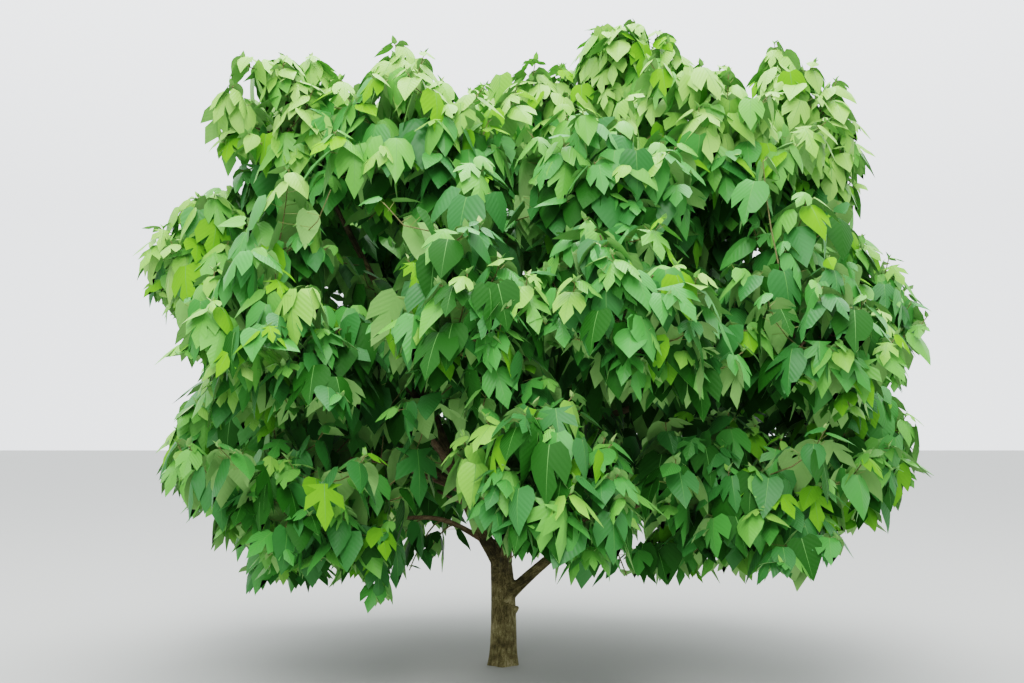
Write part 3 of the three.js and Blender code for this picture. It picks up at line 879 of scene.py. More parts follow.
@dataclass(frozen=True)
class LeafOutline:
    """A leaf's form: its edges from stalk to tip, where its rows meet the midrib, and its drape."""

    right: tuple[tuple[float, float], ...]
    left: tuple[tuple[float, float], ...]
    ribs: tuple[float, ...]
    fold: float
    arch: float
    rib_width: float = 0.009
    thickness: float = 0.01

    def _height(self, x: float, y: float) -> float:
        """How high the blade lies: arched down to its tip, its halves and lobes falling from the midrib."""
        lobe = max(abs(x) - 0.22, 0)
        return -self.arch * max(y, 0) ** 1.7 + self.fold * abs(x) - 1.1 * lobe * lobe

    def _places(self, row: int) -> list[tuple[float, float]]:
        """The places across the blade in a row, from its left edge to its right edge."""
        rib = self.ribs[row]
        left = (-self.left[row][0], self.left[row][1])
        if not self.rib_width:
            return [left, (0.0, rib), self.right[row]]
        narrow = self.rib_width * (1 - rib / self.ribs[-1])
        return [left, (-narrow, rib), (narrow, rib), self.right[row]]

    def model(self, name: str) -> LeafPattern:
        """Models the leaf as by hand: a grid drawn out to its outline, then backed by its own underside.

        Args:
            name: A name for the working object.

        Returns:
            The leaf's arrays, with layer 0 for the top, 1 for the midrib and 2 for the underside.
        """
        rows, across = len(self.ribs) - 1, 3 if self.rib_width else 2
        bpy.ops.object.select_all(action="DESELECT")
        bpy.ops.mesh.primitive_grid_add(x_subdivisions=across, y_subdivisions=rows, size=1.0)
        leaf = bpy.context.active_object
        leaf.name = name
        bpy.ops.object.mode_set(mode="EDIT")
        bpy.context.tool_settings.mesh_select_mode = (True, False, False)
        shape = bmesh.from_edit_mesh(leaf.data)
        moves = []
        for corner in shape.verts:
            column, row = round((corner.co.x + 0.5) * across), round((corner.co.y + 0.5) * rows)
            x, y = self._places(row)[column]
            moves.append((corner, Vector((x, y, self._height(x, y))) - corner.co))
        for corner, move in moves:
            bpy.ops.mesh.select_all(action="DESELECT")
            corner.select_set(True)
            bpy.ops.transform.translate(value=move)
        bpy.ops.mesh.select_all(action="SELECT")
        bpy.ops.mesh.remove_doubles(threshold=0.0005)
        bpy.ops.mesh.duplicate()
        bpy.ops.mesh.flip_normals()
        shape = bmesh.from_edit_mesh(leaf.data)
        for corner in shape.verts:
            corner.select_set(corner.select and not corner.is_boundary)
        shape.select_flush(False)
        bpy.ops.transform.resize(value=(0, 1, 1), center_override=(0, 0, 0))
        bpy.ops.transform.translate(value=(0, 0, -self.thickness))
        bpy.ops.mesh.select_all(action="SELECT")
        bpy.ops.mesh.remove_doubles(threshold=0.0005)
        bpy.ops.mesh.quads_convert_to_tris(quad_method="SHORTEST_DIAGONAL")
        bpy.ops.object.mode_set(mode="OBJECT")
        pattern = self._arrays(leaf.data)
        bpy.data.objects.remove(leaf)
        return pattern

    def _arrays(self, mesh: bpy.types.Mesh) -> LeafPattern:
        """A modelled leaf's mesh as arrays."""
        corners = np.array([corner.co for corner in mesh.vertices])
        layers = []
        for face in mesh.polygons:
            inner = all(abs(mesh.vertices[i].co.x) <= self.rib_width + 1e-4 for i in face.vertices)
            layers.append(2 if face.normal.z < 0 else 1 if inner else 0)
        loops = np.array([i for face in mesh.polygons for i in face.vertices])
        sides = np.array([len(face.vertices) for face in mesh.polygons])
        sheet = corners[loops][:, :2] + np.array([0.5, 0.0])
        return LeafPattern(corners, loops, sides, np.array(layers), sheet)


OVATE_EDGE = (
    (0.02, 0.0), (0.19, -0.07), (0.325, 0.03), (0.39, 0.22), (0.335, 0.48), (0.155, 0.78), (0.0, 1.02),
)
OVATE_RIBS = (0.0, 0.05, 0.13, 0.26, 0.47, 0.76, 1.02)
LONG_OVATE_EDGE = (
    (0.02, 0.0), (0.19, -0.08), (0.32, 0.02), (0.38, 0.2),
    (0.36, 0.4), (0.27, 0.62), (0.12, 0.86), (0.0, 1.06),
)
THREE_EDGE = (
    (0.02, 0.0), (0.2, -0.09), (0.37, 0.05), (0.46, 0.32),
    (0.37, 0.68), (0.12, 0.44), (0.21, 0.72), (0.0, 1.1),
)
FIVE_EDGE = (
    (0.02, 0.0), (0.43, -0.08), (0.18, 0.13), (0.42, 0.24),
    (0.46, 0.56), (0.11, 0.42), (0.2, 0.72), (0.0, 1.1),
)
LOBED_RIBS = (0.0, 0.05, 0.13, 0.23, 0.33, 0.44, 0.71, 1.07)
PLAIN_EDGE = ((0.02, 0.0), (0.3, 0.02), (0.37, 0.34), (0.19, 0.72), (0.0, 1.0))
PLAIN_RIBS = (0.0, 0.1, 0.36, 0.7, 1.0)
YOUNG_EDGE = ((0.04, 0.0), (0.27, 0.18), (0.22, 0.55), (0.0, 1.0))
YOUNG_RIBS = (0.0, 0.2, 0.55, 1.0)


class LeafForm(Enum):
    """The leaf's forms on one tree, from undivided to five lobed, then the shaded and the unfolding ones."""

    OVATE = LeafOutline(OVATE_EDGE, OVATE_EDGE, OVATE_RIBS, -0.3, 0.36)
    CUPPED = LeafOutline(OVATE_EDGE, OVATE_EDGE, OVATE_RIBS, 0.16, 0.22)
    MITTEN_RIGHT = LeafOutline(THREE_EDGE, LONG_OVATE_EDGE, LOBED_RIBS, -0.26, 0.36)
    MITTEN_LEFT = LeafOutline(LONG_OVATE_EDGE, THREE_EDGE, LOBED_RIBS, -0.26, 0.36)
    THREE_LOBED = LeafOutline(THREE_EDGE, THREE_EDGE, LOBED_RIBS, -0.28, 0.34)
    FIVE_LOBED = LeafOutline(FIVE_EDGE, FIVE_EDGE, LOBED_RIBS, -0.22, 0.28)
    SHADED = LeafOutline(PLAIN_EDGE, PLAIN_EDGE, PLAIN_RIBS, -0.2, 0.26, rib_width=0.0)
    UNFOLDING = LeafOutline(YOUNG_EDGE, YOUNG_EDGE, YOUNG_RIBS, 0.45, 0.1, rib_width=0.0)


TINT_LIMITS = ((0.32, Tint.DEEP), (0.46, Tint.BLUE), (0.6, Tint.MID), (0.76, Tint.SOFT), (0.92, Tint.FRESH))
FORM_SHARES = {
    LeafForm.OVATE: 0.22,
    LeafForm.CUPPED: 0.06,
    LeafForm.MITTEN_RIGHT: 0.17,
    LeafForm.MITTEN_LEFT: 0.17,
    LeafForm.THREE_LOBED: 0.3,
    LeafForm.FIVE_LOBED: 0.08,
}


@dataclass(frozen=True)
class LowTwig:
    """A twig that hangs below the crown: the limb it leaves and where, its tip, its leaves, their length."""

    limb: str
    share: float
    tip: Triple
    leaves: int
    blade: float


OPEN_PLACES = (
    ((-0.5, -2.3, 0.0), (0.02, -0.45, 0.88)),
    ((0.0, -2.3, 0.0), (0.22, -0.45, 0.79)),
    ((-0.86, -2.3, 1.96), (-0.5, -0.4, 2.4)),
)
CLOSING_RUNS: tuple[tuple[Triple, Triple, int], ...] = (
    ((1.0, -0.42, 2.5), (1.93, 0.0, 2.5), 6),
    ((1.05, 0.0, 2.44), (1.92, 0.35, 2.46), 6),
    ((1.1, 0.45, 2.4), (1.85, 0.6, 2.34), 5),
    ((1.45, -0.1, 2.24), (1.85, 0.3, 2.26), 2),
    ((-1.5, -0.1, 2.54), (-0.95, 0.15, 2.56), 4),
    ((-1.52, 0.4, 2.44), (-0.95, 0.55, 2.36), 4),
    ((-1.25, 0.85, 2.24), (-0.8, 0.7, 2.14), 3),
    ((-0.3, 0.06, 3.2), (-0.12, 0.16, 3.3), 2),
    ((-0.19, -0.1, 3.24), (-0.06, -0.28, 3.12), 2),
    ((0.06, 0.95, 2.88), (0.13, 0.85, 2.56), 2),
    ((-0.14, 0.75, 2.72), (0.02, 0.5, 2.62), 2),
    ((0.95, 0.35, 1.55), (1.3, 0.35, 1.42), 3),
    ((0.85, 0.7, 1.32), (1.65, 0.75, 1.36), 4),
    ((-0.8, 0.5, 1.42), (-0.62, 0.6, 1.48), 2),
    ((-0.42, 0.42, 1.4), (-0.3, 0.6, 1.33), 3),
    ((-1.14, 0.36, 2.17), (-1.0, 0.58, 2.07), 3),
    ((1.56, 0.12, 1.3), (1.66, 0.18, 1.27), 2),
)
LOW_TWIGS = (
    LowTwig("bough_left_skirt", 0.3, (-0.41, -0.2, 0.65), 5, 0.15),
    LowTwig("bough_left_skirt", 0.42, (-0.51, -0.26, 0.56), 6, 0.16),
    LowTwig("bough_left_skirt", 0.55, (-0.62, -0.34, 0.64), 7, 0.18),
    LowTwig("limb_right", 0.5, (0.62, -0.9, 0.62), 4, 0.19),
)


@dataclass
class Crown:
    """The masses of foliage, grown on from the boughs' tips, and the twigs that close the crown."""

    wood: Wood
    first_seed: int = 101
    depths: tuple[float, ...] = (1.0, 1.0, 0.5)
    first_place: float = 0.25
    last_place: float = 0.96
    first_height: float = 0.96
    last_height: float = -0.7
    side_reach: float = 0.56
    top_reach: float = 0.9
    past_middle: float = 0.4
    lead: float = 0.35
    stem_tip: float = 0.0065
    shoot_radii: tuple[float, float] = (0.0058, 0.0042)
    twig_radii: tuple[float, float] = (0.0036, 0.0026)
    low_radii: tuple[float, float] = (0.0055, 0.003)
    stalk_radius: float = 0.0016
    stalk_sunk: float = 0.008
    outer_twigs: int = 3
    inner_twigs: int = 2
    spread: float = 0.2
    leafy_length: float = 0.22
    leaves_on_twig: tuple[int, int] = (8, 11)
    blade: tuple[float, float] = (0.095, 0.205)
    stalk: tuple[float, float] = (0.03, 0.12)
    rises: tuple[float, float] = (0.9, 0.15)
    droops: tuple[float, float] = (0.38, 1.15)
    freshness: float = 2.3
    lit_through: float = 0.09
    upturn: float = 0.3
    young: tuple[float, float] = (0.03, 0.06)
    blend: float = 4.0
    tip_reach: tuple[float, float] = (0.74, 0.98)
    leaf_reach: float = 1.12
    filled_reach: float = 1.0
    shaded_reach: float = 0.66
    ragged_above: float = 2.85
    ragged_reach: float = 0.16
    lowest_root: float = 1.1
    lattice: float = 0.21
    tip_gap: float = 0.25
    inner_gap: float = 0.235
    core_middle: Triple = (0.1, 0.05, 2.12)
    core_size: Triple = (1.82, 1.34, 0.98)
    core_blade: float = 1.15
    root_step: int = 8
    stem_points: int = 12
    seat: float = 0.03
    cell_margin: float = 0.01
    twig_clearance: float = 0.02
    leaf_clearance: float = 0.006
    shoot_tries: tuple[float, ...] = (1, 0.88, 0.76, 0.64)
    twig_tries: tuple[float, ...] = (1, 0.85, 0.7, 0.5)
    leaf_tries: tuple[float, ...] = (1, 0.85, 0.7)
    shoot_bow: float = 0.06
    shoot_bends: tuple[float, float] = (0.35, 0.7)
    twig_places: tuple[float, float] = (0.45, 0.5)
    twig_turns: tuple[float, float] = (-0.4, 0.4)
    twig_spreads: tuple[float, float] = (0.7, 1.3)
    twig_leads: tuple[float, float] = (-0.03, 0.13)
    twig_lifts: tuple[float, float] = (-0.02, 0.06)
    twig_bends: tuple[float, float] = (0.4, 0.8)
    stalk_turns: tuple[float, float] = (-0.25, 0.25)
    stalk_lengths: tuple[float, float] = (0.75, 1.25)
    blade_lengths: tuple[float, float] = (0.86, 1.14)
    blade_widths: tuple[float, float] = (0.9, 1.12)
    blade_drapes: tuple[float, float] = (0.55, 1.4)
    blade_tilt: float = 0.24
    blade_turn: float = 0.25
    blade_roll: float = 0.26
    fresher_base: float = -0.4
    fresher_chance: float = 0.6
    tuft_counts: tuple[int, int] = (2, 3)
    tuft_leans: tuple[float, float] = (0.5, 1.2)
    tuft_pale: float = 0.4
    lattice_turns: tuple[float, float] = (-0.45, 0.45)
    root_drop: float = 0.04
    roots_tried: int = 24
    # Painted light and shade: how light a twig's leaves are dealt, by height, reach, top, depth, side and
    # core.
    light_at_foot: float = 0.27
    light_by_height: float = 0.13
    light_by_reach: float = 0.45
    light_on_top: float = 0.3
    light_by_depth: float = -0.075
    light_to_right: float = -0.025
    light_on_left: float = 0.1
    light_in_core: float = -0.12
    light_chance: float = 0.11
    longest_twig: float = 0.75
    crown_middle: Triple = (0.1, 0.0, 2.0)
    crown_size: Triple = (2.2, 2.1, 1.75)
    margin: float = 0.045
    highest: float = 3.71

    def __post_init__(self) -> None:
        """Models the leaf forms and sets out the points that keep leaves off the limbs."""
        self.patterns = {form: form.value.model(form.name.lower()) for form in LeafForm}
        points, radii, _ = self.wood.samples(self.wood.lines)
        self.limb_radii = radii
        self.limb_tree = tree_of(points)
        low, high = (np.array(corner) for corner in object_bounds())
        self.low, self.high = low - self.margin, high + self.margin
        self.high[2] = self.highest
        self.leaves = {region: Sprays() for region in Region}
        self.twigs = Sprays()
        self.tips: list[np.ndarray] = []
        rooting = points[::self.root_step]
        self.rooting: list[np.ndarray] = list(rooting[rooting[:, 2] > self.lowest_root])
        self.leaf_count = 0
        self.dice = random.Random(self.first_seed)

    def is_clear(self, point: np.ndarray, margin: float) -> bool:
        """Whether a point is off every limb by a margin."""
        _, i, distance = self.limb_tree.find(point)
        return distance > self.limb_radii[i] + margin

    def reach(self, point: np.ndarray) -> float:
        """How far out of the crown a point is, 1 at its edge, the masses' spaces flowing into each other."""
        reaches = np.linalg.norm((MIDDLES - point) / SIZES, axis=1)
        return 1 - float(np.log(np.sum(np.exp(-self.blend * (reaches - 1))))) / self.blend

    def in_core(self, point: np.ndarray) -> bool:
        """Whether a point is in the shaded middle that the masses surround, a rounded block."""
        return bool(np.sum(np.abs((point - np.array(self.core_middle)) / np.array(self.core_size)) ** 3) < 1)

    def fits(self, point: np.ndarray, limit: float) -> bool:
        """Whether a point is in the crown to a limit, in the model's own bounds and in no open place."""
        if any(np.all(point > low) and np.all(point < high) for low, high in OPEN_PLACES):
            return False
        if not bool(np.all(point > self.low) and np.all(point < self.high)):
            return False
        return self.in_core(point) or self.reach(point) < limit

    @staticmethod
    def region_at(point: np.ndarray) -> Region:
        """The part of the crown that a point belongs to, that of the mass it is deepest in."""
        nearest = int(np.argmin(np.linalg.norm((MIDDLES - point) / SIZES, axis=1)))
        return list(MASSES.values())[nearest].region

    def grow(self) -> None:
        """Grows every mass in turn, then the twigs between them and the few that hang below."""
        for i, name in enumerate(MASSES):
            self.grow_mass(name, self.first_seed + i)
        log.info("%d leaves in the masses", self.leaf_count)
        self.fill_hollows()
        log.info("%d leaves with the hollows filled", self.leaf_count)
        self.hang_low_twigs()

    def grow_mass(self, name: str, seed: int) -> None:
        """Grows one mass: its stem, and the shoots that branch from the stem.

        Args:
            name: The mass.
            seed: The seed of its rule.
        """
        mass = MASSES[name]
        rule = seeded(seed)
        self.dice = random.Random(seed)
        limb_name, limb = next((key, one) for key, one in LIMBS.items() if one.mass == name)
        line = self.wood.lines[limb_name]
        heading = line.heading(1)
        start, middle = line.at(1), np.array(mass.at)
        past = middle + (middle - start) * self.past_middle
        lead = start + heading * np.linalg.norm(middle - start) * self.lead
        stem = Line.bent(start, lead, middle, past)
        rooted = np.vstack([start - heading * self.seat, stem.at(np.linspace(0, 1, self.stem_points))])
        thick = limb.radii[1]
        radii = np.concatenate([[thick], np.linspace(thick * 0.96, self.stem_tip, self.stem_points)])
        self.twigs.tube(rooted, radii, 8, TWIG_SLOT)
        self.rooting.extend(stem.at(np.linspace(0.2, 1, 10)))

        turn = rule() * 2 * math.pi
        ways = [self.shoot_way(i, mass.shoots, turn) for i in range(mass.shoots)]
        back_to_front = sorted(range(mass.shoots), key=lambda i: float(np.dot(ways[i], heading)))
        for i, way in enumerate(ways):
            order = back_to_front.index(i) / (mass.shoots - 1)
            share = lerp(self.first_place, self.last_place, order)
            depth = self.depths[i % len(self.depths)]
            self.grow_shoot(mass, stem.at(share), way, depth)

    def shoot_way(self, i: int, count: int, turn: float) -> np.ndarray:
        """The way of a mass's shoot, wound evenly round it from its top down."""
        height = lerp(self.first_height, self.last_height, i / (count - 1))
        flat = math.sqrt(1 - height * height)
        angle = i * GOLDEN_ANGLE + turn
        return np.array([flat * math.cos(angle), flat * math.sin(angle), height])

    def grow_shoot(self, mass: Mass, start: np.ndarray, way: np.ndarray, depth: float) -> None:
        """Grows one shoot out into a mass's space, and the twigs that branch round its end.

        Args:
            mass: The mass.
            start: Where the shoot leaves its stem.
            way: The way that it points.
            depth: How far out it reaches, as a share of its full reach.
        """
        reach = lerp(self.side_reach, self.top_reach, max(way[2], 0) ** 2) * depth
        for share in self.shoot_tries:
            end = np.array(mass.at) + way * np.array(mass.size) * reach * share
            if in_cell(mass, end, self.cell_margin) and self.is_clear(end, self.twig_clearance):
                break
        else:
            return
        along = end - start
        bow = UP * self.shoot_bow * np.linalg.norm(along)
        shoot = Line.bent(start, *(start + along * share - bow for share in self.shoot_bends), end)
        self.twigs.tube(shoot.at(np.linspace(0, 1, 5)), np.linspace(*self.shoot_radii, 5), 5, TWIG_SLOT)
        self.rooting.extend(shoot.at(np.linspace(0.2, 1, 6)))
        count = self.outer_twigs if depth == 1 else self.inner_twigs
        side = unit(np.cross(way, UP) + 1e-6)
        other = np.cross(unit(along), side)
        spin = self.dice.uniform(0, 2 * math.pi)
        for k in range(count):
            angle = spin + k * 2 * math.pi / count + self.dice.uniform(*self.twig_turns)
            around = side * math.cos(angle) + other * math.sin(angle)
            offset = around * self.spread * self.dice.uniform(*self.twig_spreads)
            ahead = way * self.dice.uniform(*self.twig_leads) + UP * self.dice.uniform(*self.twig_lifts)
            limit = lerp(*self.tip_reach, self.dice.random() ** 1.5)
            if end[2] > self.ragged_above:
                limit += self.ragged_reach * self.dice.random()
            place = self.twig_places[0] + self.twig_places[1] * (k + 1) / count
            self.grow_twig(shoot.at(place), end + offset + ahead, limit)

    def grow_twig(self, start: np.ndarray, tip: np.ndarray, limit: float) -> None:
        """Grows one twig with an umbrella of leaves round its end.

        Args:
            start: Where it leaves its shoot.
            tip: Where it ends, if there is room.
            limit: How far out of the crown it may end.
        """
        for scale in self.twig_tries:
            end = start + (tip - start) * scale
            if self.fits(end, limit) and self.is_clear(end, self.twig_clearance):
                break
        else:
            return
        along = end - start
        sag = UP * self.upturn * np.linalg.norm(along)
        near, far = self.twig_bends
        twig = Line.bent(start, start + along * near - sag * 0.4, start + along * far - sag, end)
        self.twigs.tube(twig.at(np.linspace(0, 1, 4)), np.linspace(*self.twig_radii, 4), 4, SHOOT_SLOT)
        self.tips.append(end)
        scale = self.core_blade if self.in_core(end) else 1.0
        self.grow_umbrella(twig, self.dice.randint(*self.leaves_on_twig), scale, self.tint_at(end))
        if not self.in_core(end):
            self.grow_tuft(end, twig.heading(1))

    def grow_umbrella(self, twig: Line, count: int, scale: float, tint: Tint) -> None:
        """Grows the leaves along a twig's end, the young ones at its tip and the old ones drooping below.

        Args:
            twig: The twig.
            count: How many leaves it has.
            scale: The leaves' size next to the usual one.
            tint: The old leaves' green.
        """
        leafy = min(self.leafy_length, 0.85 * twig.length)
        spin = self.dice.uniform(0, 2 * math.pi)
        greens = list(Tint)[:GREENS]
        for k in range(count):
            age = k / max(count - 1, 1)
            origin = twig.at(1 - lerp(0.01, leafy, age**0.85) / twig.length)
            chance = self.dice.gauss(0, self.fresher_chance)
            fresher = round((1 - age) * self.freshness + self.fresher_base + chance)
            green = greens[min(max(greens.index(tint) + fresher, 0), len(greens) - 1)]
            # Painted light: a few leaves take the lit-through green, as if light shone through them.
            if green is not Tint.DEEP and self.dice.random() < self.lit_through:
                green = Tint.LIT
            self.grow_leaf(origin, spin + k * GOLDEN_ANGLE, age, scale, green)

    def tint_at(self, place: np.ndarray) -> Tint:
        """The green that a twig's old leaves are dealt, as painted light and shade: lighter high up, far out
        and on the left, darker in the core, towards the front and back, and to the right.
        """
        out = float(np.linalg.norm((place - np.array(self.crown_middle)) / np.array(self.crown_size)))
        light = self.light_at_foot + self.light_by_height * (place[2] - 0.6)
        light += self.light_by_reach * (out - 0.68) + self.dice.gauss(0, self.light_chance)
        light += self.light_on_top * max(place[2] - 2.4, 0) + self.light_by_depth * abs(place[1])
        light += self.light_to_right * place[0] + self.light_in_core * self.in_core(place)
        light += self.light_on_left * max(-0.4 - place[0], 0) * (1.3 < place[2] < 2.5)
        return next((tint for limit, tint in TINT_LIMITS if light < limit), Tint.BRIGHT)

    def grow_leaf(self, origin: np.ndarray, angle: float, age: float, scale: float, tint: Tint) -> None:
        """Grows one leaf on its stalk, if there is room for it.

        Args:
            origin: Where the stalk leaves the twig.
            angle: The way that the stalk points, seen from above.
            age: From 0 for the twig's youngest leaf to 1 for its oldest.
            scale: The leaf's size next to the usual one.
            tint: Its green.
        """
        rise = lerp(*self.rises, age) + self.dice.uniform(*self.stalk_turns)
        reach = lerp(*self.stalk, age) * self.dice.uniform(*self.stalk_lengths) * scale
        length = lerp(*self.blade, age**0.6) * self.dice.uniform(*self.blade_lengths) * scale
        droop = lerp(*self.droops, age) + self.dice.gauss(0, self.blade_tilt)
        joint = origin + (level_way(angle) * math.cos(rise) + UP * math.sin(rise)) * reach
        aim = level_way(angle + self.dice.gauss(0, self.blade_turn))
        down = aim * math.cos(droop) - UP * math.sin(droop)
        up = aim * math.sin(droop) + UP * math.cos(droop)
        roll = self.dice.gauss(0, self.blade_roll)
        across = np.cross(down, up)
        cos, sin = math.cos(roll), math.sin(roll)
        across, up = across * cos + up * sin, up * cos - across * sin
        for share in self.leaf_tries:
            size = length * share
            middle = joint + (down * 0.5 - up * 0.1) * size
            along = [joint + (down - up * 0.35) * size, middle, joint]
            aside = [middle + across * size * 0.36, middle - across * size * 0.36]
            if all(self.is_clear(probe, self.leaf_clearance) for probe in along + aside):
                if all(self.fits(probe, self.leaf_reach) for probe in along):
                    break
        else:
            return
        is_dim = tint in (Tint.DEEP, Tint.BLUE)
        if is_dim and (self.reach(joint) < self.shaded_reach or self.in_core(joint)):
            form = LeafForm.SHADED
        else:
            form = self.dice.choices(list(FORM_SHARES), list(FORM_SHARES.values()))[0]
        self.place_leaf(form, joint, np.stack([across, down, up]), size, tint)
        ends = np.array([origin, joint + down * self.stalk_sunk])
        self.twigs.tube(ends, np.full(2, self.stalk_radius), 3, STALK_SLOT)

    def place_leaf(
        self, form: LeafForm, joint: np.ndarray, axes: np.ndarray, size: float, tint: Tint
    ) -> None:
        """Copies a modelled leaf to its place.

        Args:
            form: Its form.
            joint: The end of its stalk.
            axes: The ways of its width, its length and its top.
            size: Its length.
            tint: Its green.
        """
        pattern = self.patterns[form]
        drawn = np.array([self.dice.uniform(*self.blade_widths), 1.0, self.dice.uniform(*self.blade_drapes)])
        corners = joint + pattern.corners @ (drawn[:, None] * axes * size)
        slots = np.array([list(Tint).index(tint), FIRST_BACK + 1, FIRST_BACK])
        self.leaves[self.region_at(joint)].add(
            corners, pattern.loops, pattern.sides, slots[pattern.layers], pattern.sheet
        )
        self.leaf_count += 1

    def grow_tuft(self, tip: np.ndarray, heading: np.ndarray) -> None:
        """Grows the small leaves that unfold at a twig's tip."""
        spin = self.dice.uniform(0, 2 * math.pi)
        for k in range(self.dice.randint(*self.tuft_counts)):
            lean = self.dice.uniform(*self.tuft_leans)
            aside = level_way(spin + k * GOLDEN_ANGLE)
            down = unit(aside * math.cos(lean) + UP * math.sin(lean) + heading * 0.3)
            across = unit(np.cross(down, UP))
            axes = np.stack([across, down, np.cross(across, down)])
            size = self.dice.uniform(*self.young)
            if self.fits(tip + down * size, self.leaf_reach):
                tint = Tint.YOUNG if self.dice.random() < self.tuft_pale else Tint.FRESH
                self.place_leaf(LeafForm.UNFOLDING, tip - heading * 0.004, axes, size, tint)

    def fill_hollows(self) -> None:
        """Grows twigs from the nearest wood into the hollows that the masses leave between them."""
        roots = tree_of(self.rooting)
        for i, (first, last, count) in enumerate(CLOSING_RUNS):
            for k, tip in enumerate(np.linspace(first, last, count)):
                self.dice = random.Random(10 * i + k)
                self.grow_from_wood(tip, roots)
        steps = [np.arange(a, b, self.lattice) for a, b in zip(self.low, self.high)]
        places = np.stack(np.meshgrid(*steps, indexing="ij"), axis=-1).reshape(-1, 3)
        for i, place in enumerate(places):
            self.dice = random.Random(self.first_seed + i)
            turns = [self.dice.uniform(*self.lattice_turns) for _ in range(3)]
            tip = place + np.array(turns) * self.lattice
            out = self.reach(tip)
            if out > self.filled_reach and not self.in_core(tip):
                continue
            gap = self.tip_gap if out > self.shaded_reach and not self.in_core(tip) else self.inner_gap
            if np.min(np.linalg.norm(np.array(self.tips) - tip, axis=1)) > gap:
                self.grow_from_wood(tip, roots)

    def grow_from_wood(self, tip: np.ndarray, roots: kdtree.KDTree) -> None:
        """Grows a twig to a tip from the nearest wood below it, where there is any near enough.

        Args:
            tip: Where the twig ends.
            roots: The points of the limbs, stems and shoots that a twig may leave.
        """
        found = [(np.array(co), distance) for co, _, distance in roots.find_n(tip, self.roots_tried)]
        start, distance = next((one for one in found if one[0][2] < tip[2] - self.root_drop), found[0])
        if distance < self.longest_twig:
            self.grow_twig(start, tip, self.filled_reach)

    def hang_low_twigs(self) -> None:
        """Hangs the few twigs that show below the crown."""
        for i, low in enumerate(LOW_TWIGS):
            self.dice = random.Random(i)
            start, tip = self.wood.lines[low.limb].at(low.share), np.array(low.tip)
            along = tip - start
            lift = UP * 0.25 * np.linalg.norm(along)
            twig = Line.bent(start, start + along * 0.35 + lift, start + along * 0.75 + lift * 0.6, tip)
            self.twigs.tube(twig.at(np.linspace(0, 1, 7)), np.linspace(*self.low_radii, 7), 5, SHOOT_SLOT)
            scale = low.blade / self.blade[1]
            self.leaf_reach, kept = math.inf, self.leaf_reach
            # Painted shade: the low twigs' leaves take the deepest green, as in the crown's shade.
            self.grow_umbrella(twig, low.leaves, scale, Tint.DEEP)
            self.leaf_reach = kept

    def build(self) -> list[bpy.types.Object]:
        """The crown's pieces: the leaves of each region, and all the twigs.

        Returns:
            The pieces.
        """
        dressed = [finish.material() for finish in LEAF_FINISHES]
        built = []
        for region, sprays in self.leaves.items():
            piece = sprays.build(region.value, dressed)
            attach(piece, "root")
            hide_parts(*(f"leaves_{key}" for key, mass in MASSES.items() if mass.region is region))
            built.append(piece)
        woody = self.twigs.build("twigs", [finish.material() for finish in (TWIG, SHOOT, STALK)])
        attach(woody, "root")
        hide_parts(*(f"leaves_{key}" for key in MASSES))
        built.append(woody)
        return built


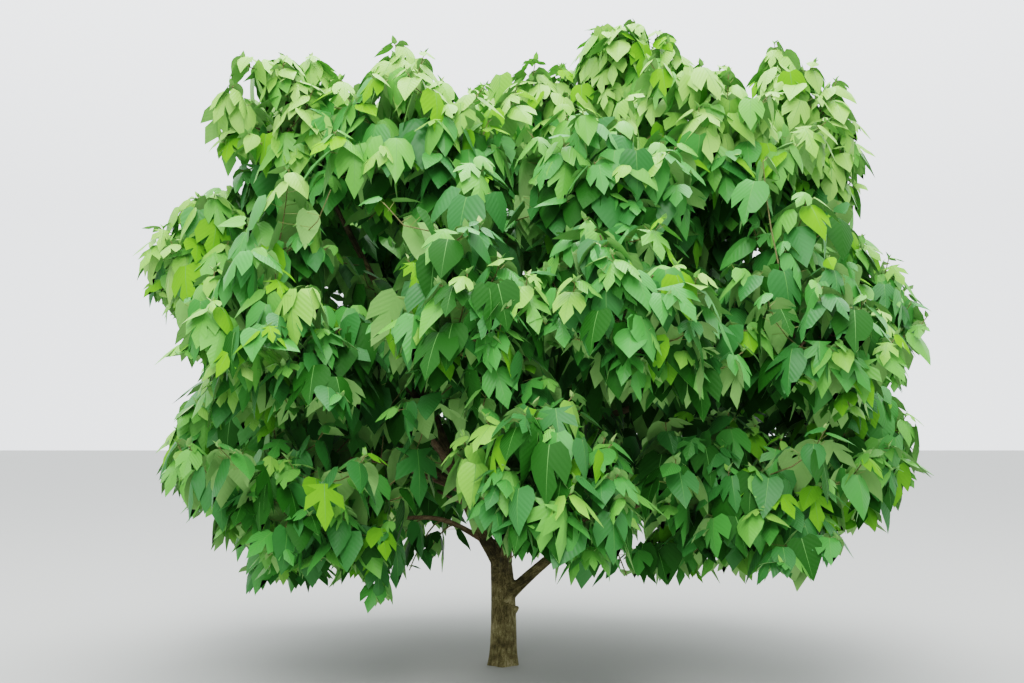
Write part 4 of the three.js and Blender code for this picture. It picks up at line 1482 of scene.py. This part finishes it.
@dataclass
class Studio:
    """The plain floor, soft lights and camera."""

    eye: Triple = (0.051, -7.14, 1.49)
    tilt: float = 2.68
    focal_pixels: float = 1250.0
    image_width: float = 1024.0
    floor_size: float = 60.0
    sky: Triple = (0.94, 0.97, 1.0)
    sky_strengths: tuple[float, float] = (0.46, 1.8)
    far_wall: float = 0.95
    exposure: float = 0.28

    def set_up(self) -> None:
        """Places the camera, the floor and the lights."""
        self._camera()
        self._floor()
        self._sky()
        self._light("light_overhead", (0.3, 0.6, 9.5), (0, 0, 1.9), 7.0, 520)
        self._light("light_front", (-0.8, -8.5, 7.0), (0.3, 0, 2.0), 4.0, 360)

    def _camera(self) -> None:
        """The camera, at the height and tilt worked out from the horizon."""
        data = bpy.data.cameras.new("camera")
        data.sensor_width = 36.0
        data.lens = data.sensor_width * self.focal_pixels / self.image_width
        data.clip_end = 200.0
        camera = bpy.data.objects.new("camera", data)
        camera.location = self.eye
        camera.rotation_euler = (math.radians(90 + self.tilt), 0.0, 0.0)
        bpy.context.scene.collection.objects.link(camera)
        bpy.context.scene.camera = camera

    def _floor(self) -> None:
        """A plain pale floor at ground level."""
        bpy.ops.object.select_all(action="DESELECT")
        bpy.ops.mesh.primitive_plane_add(size=self.floor_size)
        floor = bpy.context.active_object
        floor.name = "floor"
        made, wiring, skin = new_skin("floor_pale", 0.9, 0.5)
        wiring.fill(skin, {"Base Color": (0.40, 0.40, 0.385, 1.0)})
        floor.data.materials.append(made)
        floor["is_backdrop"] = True

    def _sky(self) -> None:
        """A pale surround, brighter overhead, as under an even cloud."""
        world = bpy.data.worlds.new("surround")
        world.use_nodes = True
        wiring = Wiring(world.node_tree)
        way = wiring.add("TexCoord", {})
        parts = wiring.add("SeparateXYZ", {"Vector": way.outputs["Generated"]})
        low, high = self.sky_strengths
        height = wiring.add("MapRange", {
            "Value": parts.outputs["Z"], "From Min": 0.15, "From Max": 0.9, "To Min": low, "To Max": high,
        })
        wall = wiring.add("MapRange", {"Value": parts.outputs["Y"], "From Min": 0.0, "To Max": self.far_wall})
        both = wiring.add("Math", {0: height.outputs["Result"], 1: wall.outputs["Result"]}, "ADD")
        wiring.fill(world.node_tree.nodes["Background"], {
            "Color": (*self.sky, 1.0), "Strength": both.outputs[0],
        })
        bpy.context.scene.world = world
        view = bpy.context.scene.view_settings
        view.view_transform, view.look, view.exposure = "Filmic", "Medium High Contrast", self.exposure

    @staticmethod
    def _light(name: str, place: Triple, target: Triple, size: float, power: float) -> None:
        """A large soft lamp turned to a point."""
        data = bpy.data.lights.new(name, "AREA")
        data.shape = "DISK"
        data.size = size
        data.energy = power
        lamp = bpy.data.objects.new(name, data)
        lamp.location = place
        lamp.rotation_euler = (Vector(target) - Vector(place)).to_track_quat("-Z", "Y").to_euler()
        bpy.context.scene.collection.objects.link(lamp)


def main() -> None:
    """Loads the model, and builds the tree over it."""
    logging.basicConfig(level=logging.INFO, format="%(name)s: %(message)s")
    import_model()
    Studio().set_up()
    wood = Wood()
    crown = Crown(wood)
    crown.grow()
    for piece in [*wood.build(), *crown.build()]:
        faces = sum(len(face.vertices) - 2 for face in piece.data.polygons)
        log.info("%s: %d triangles", piece.name, faces)
    bpy.ops.object.select_all(action="DESELECT")
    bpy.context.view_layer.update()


if __name__ == "__main__":
    main()
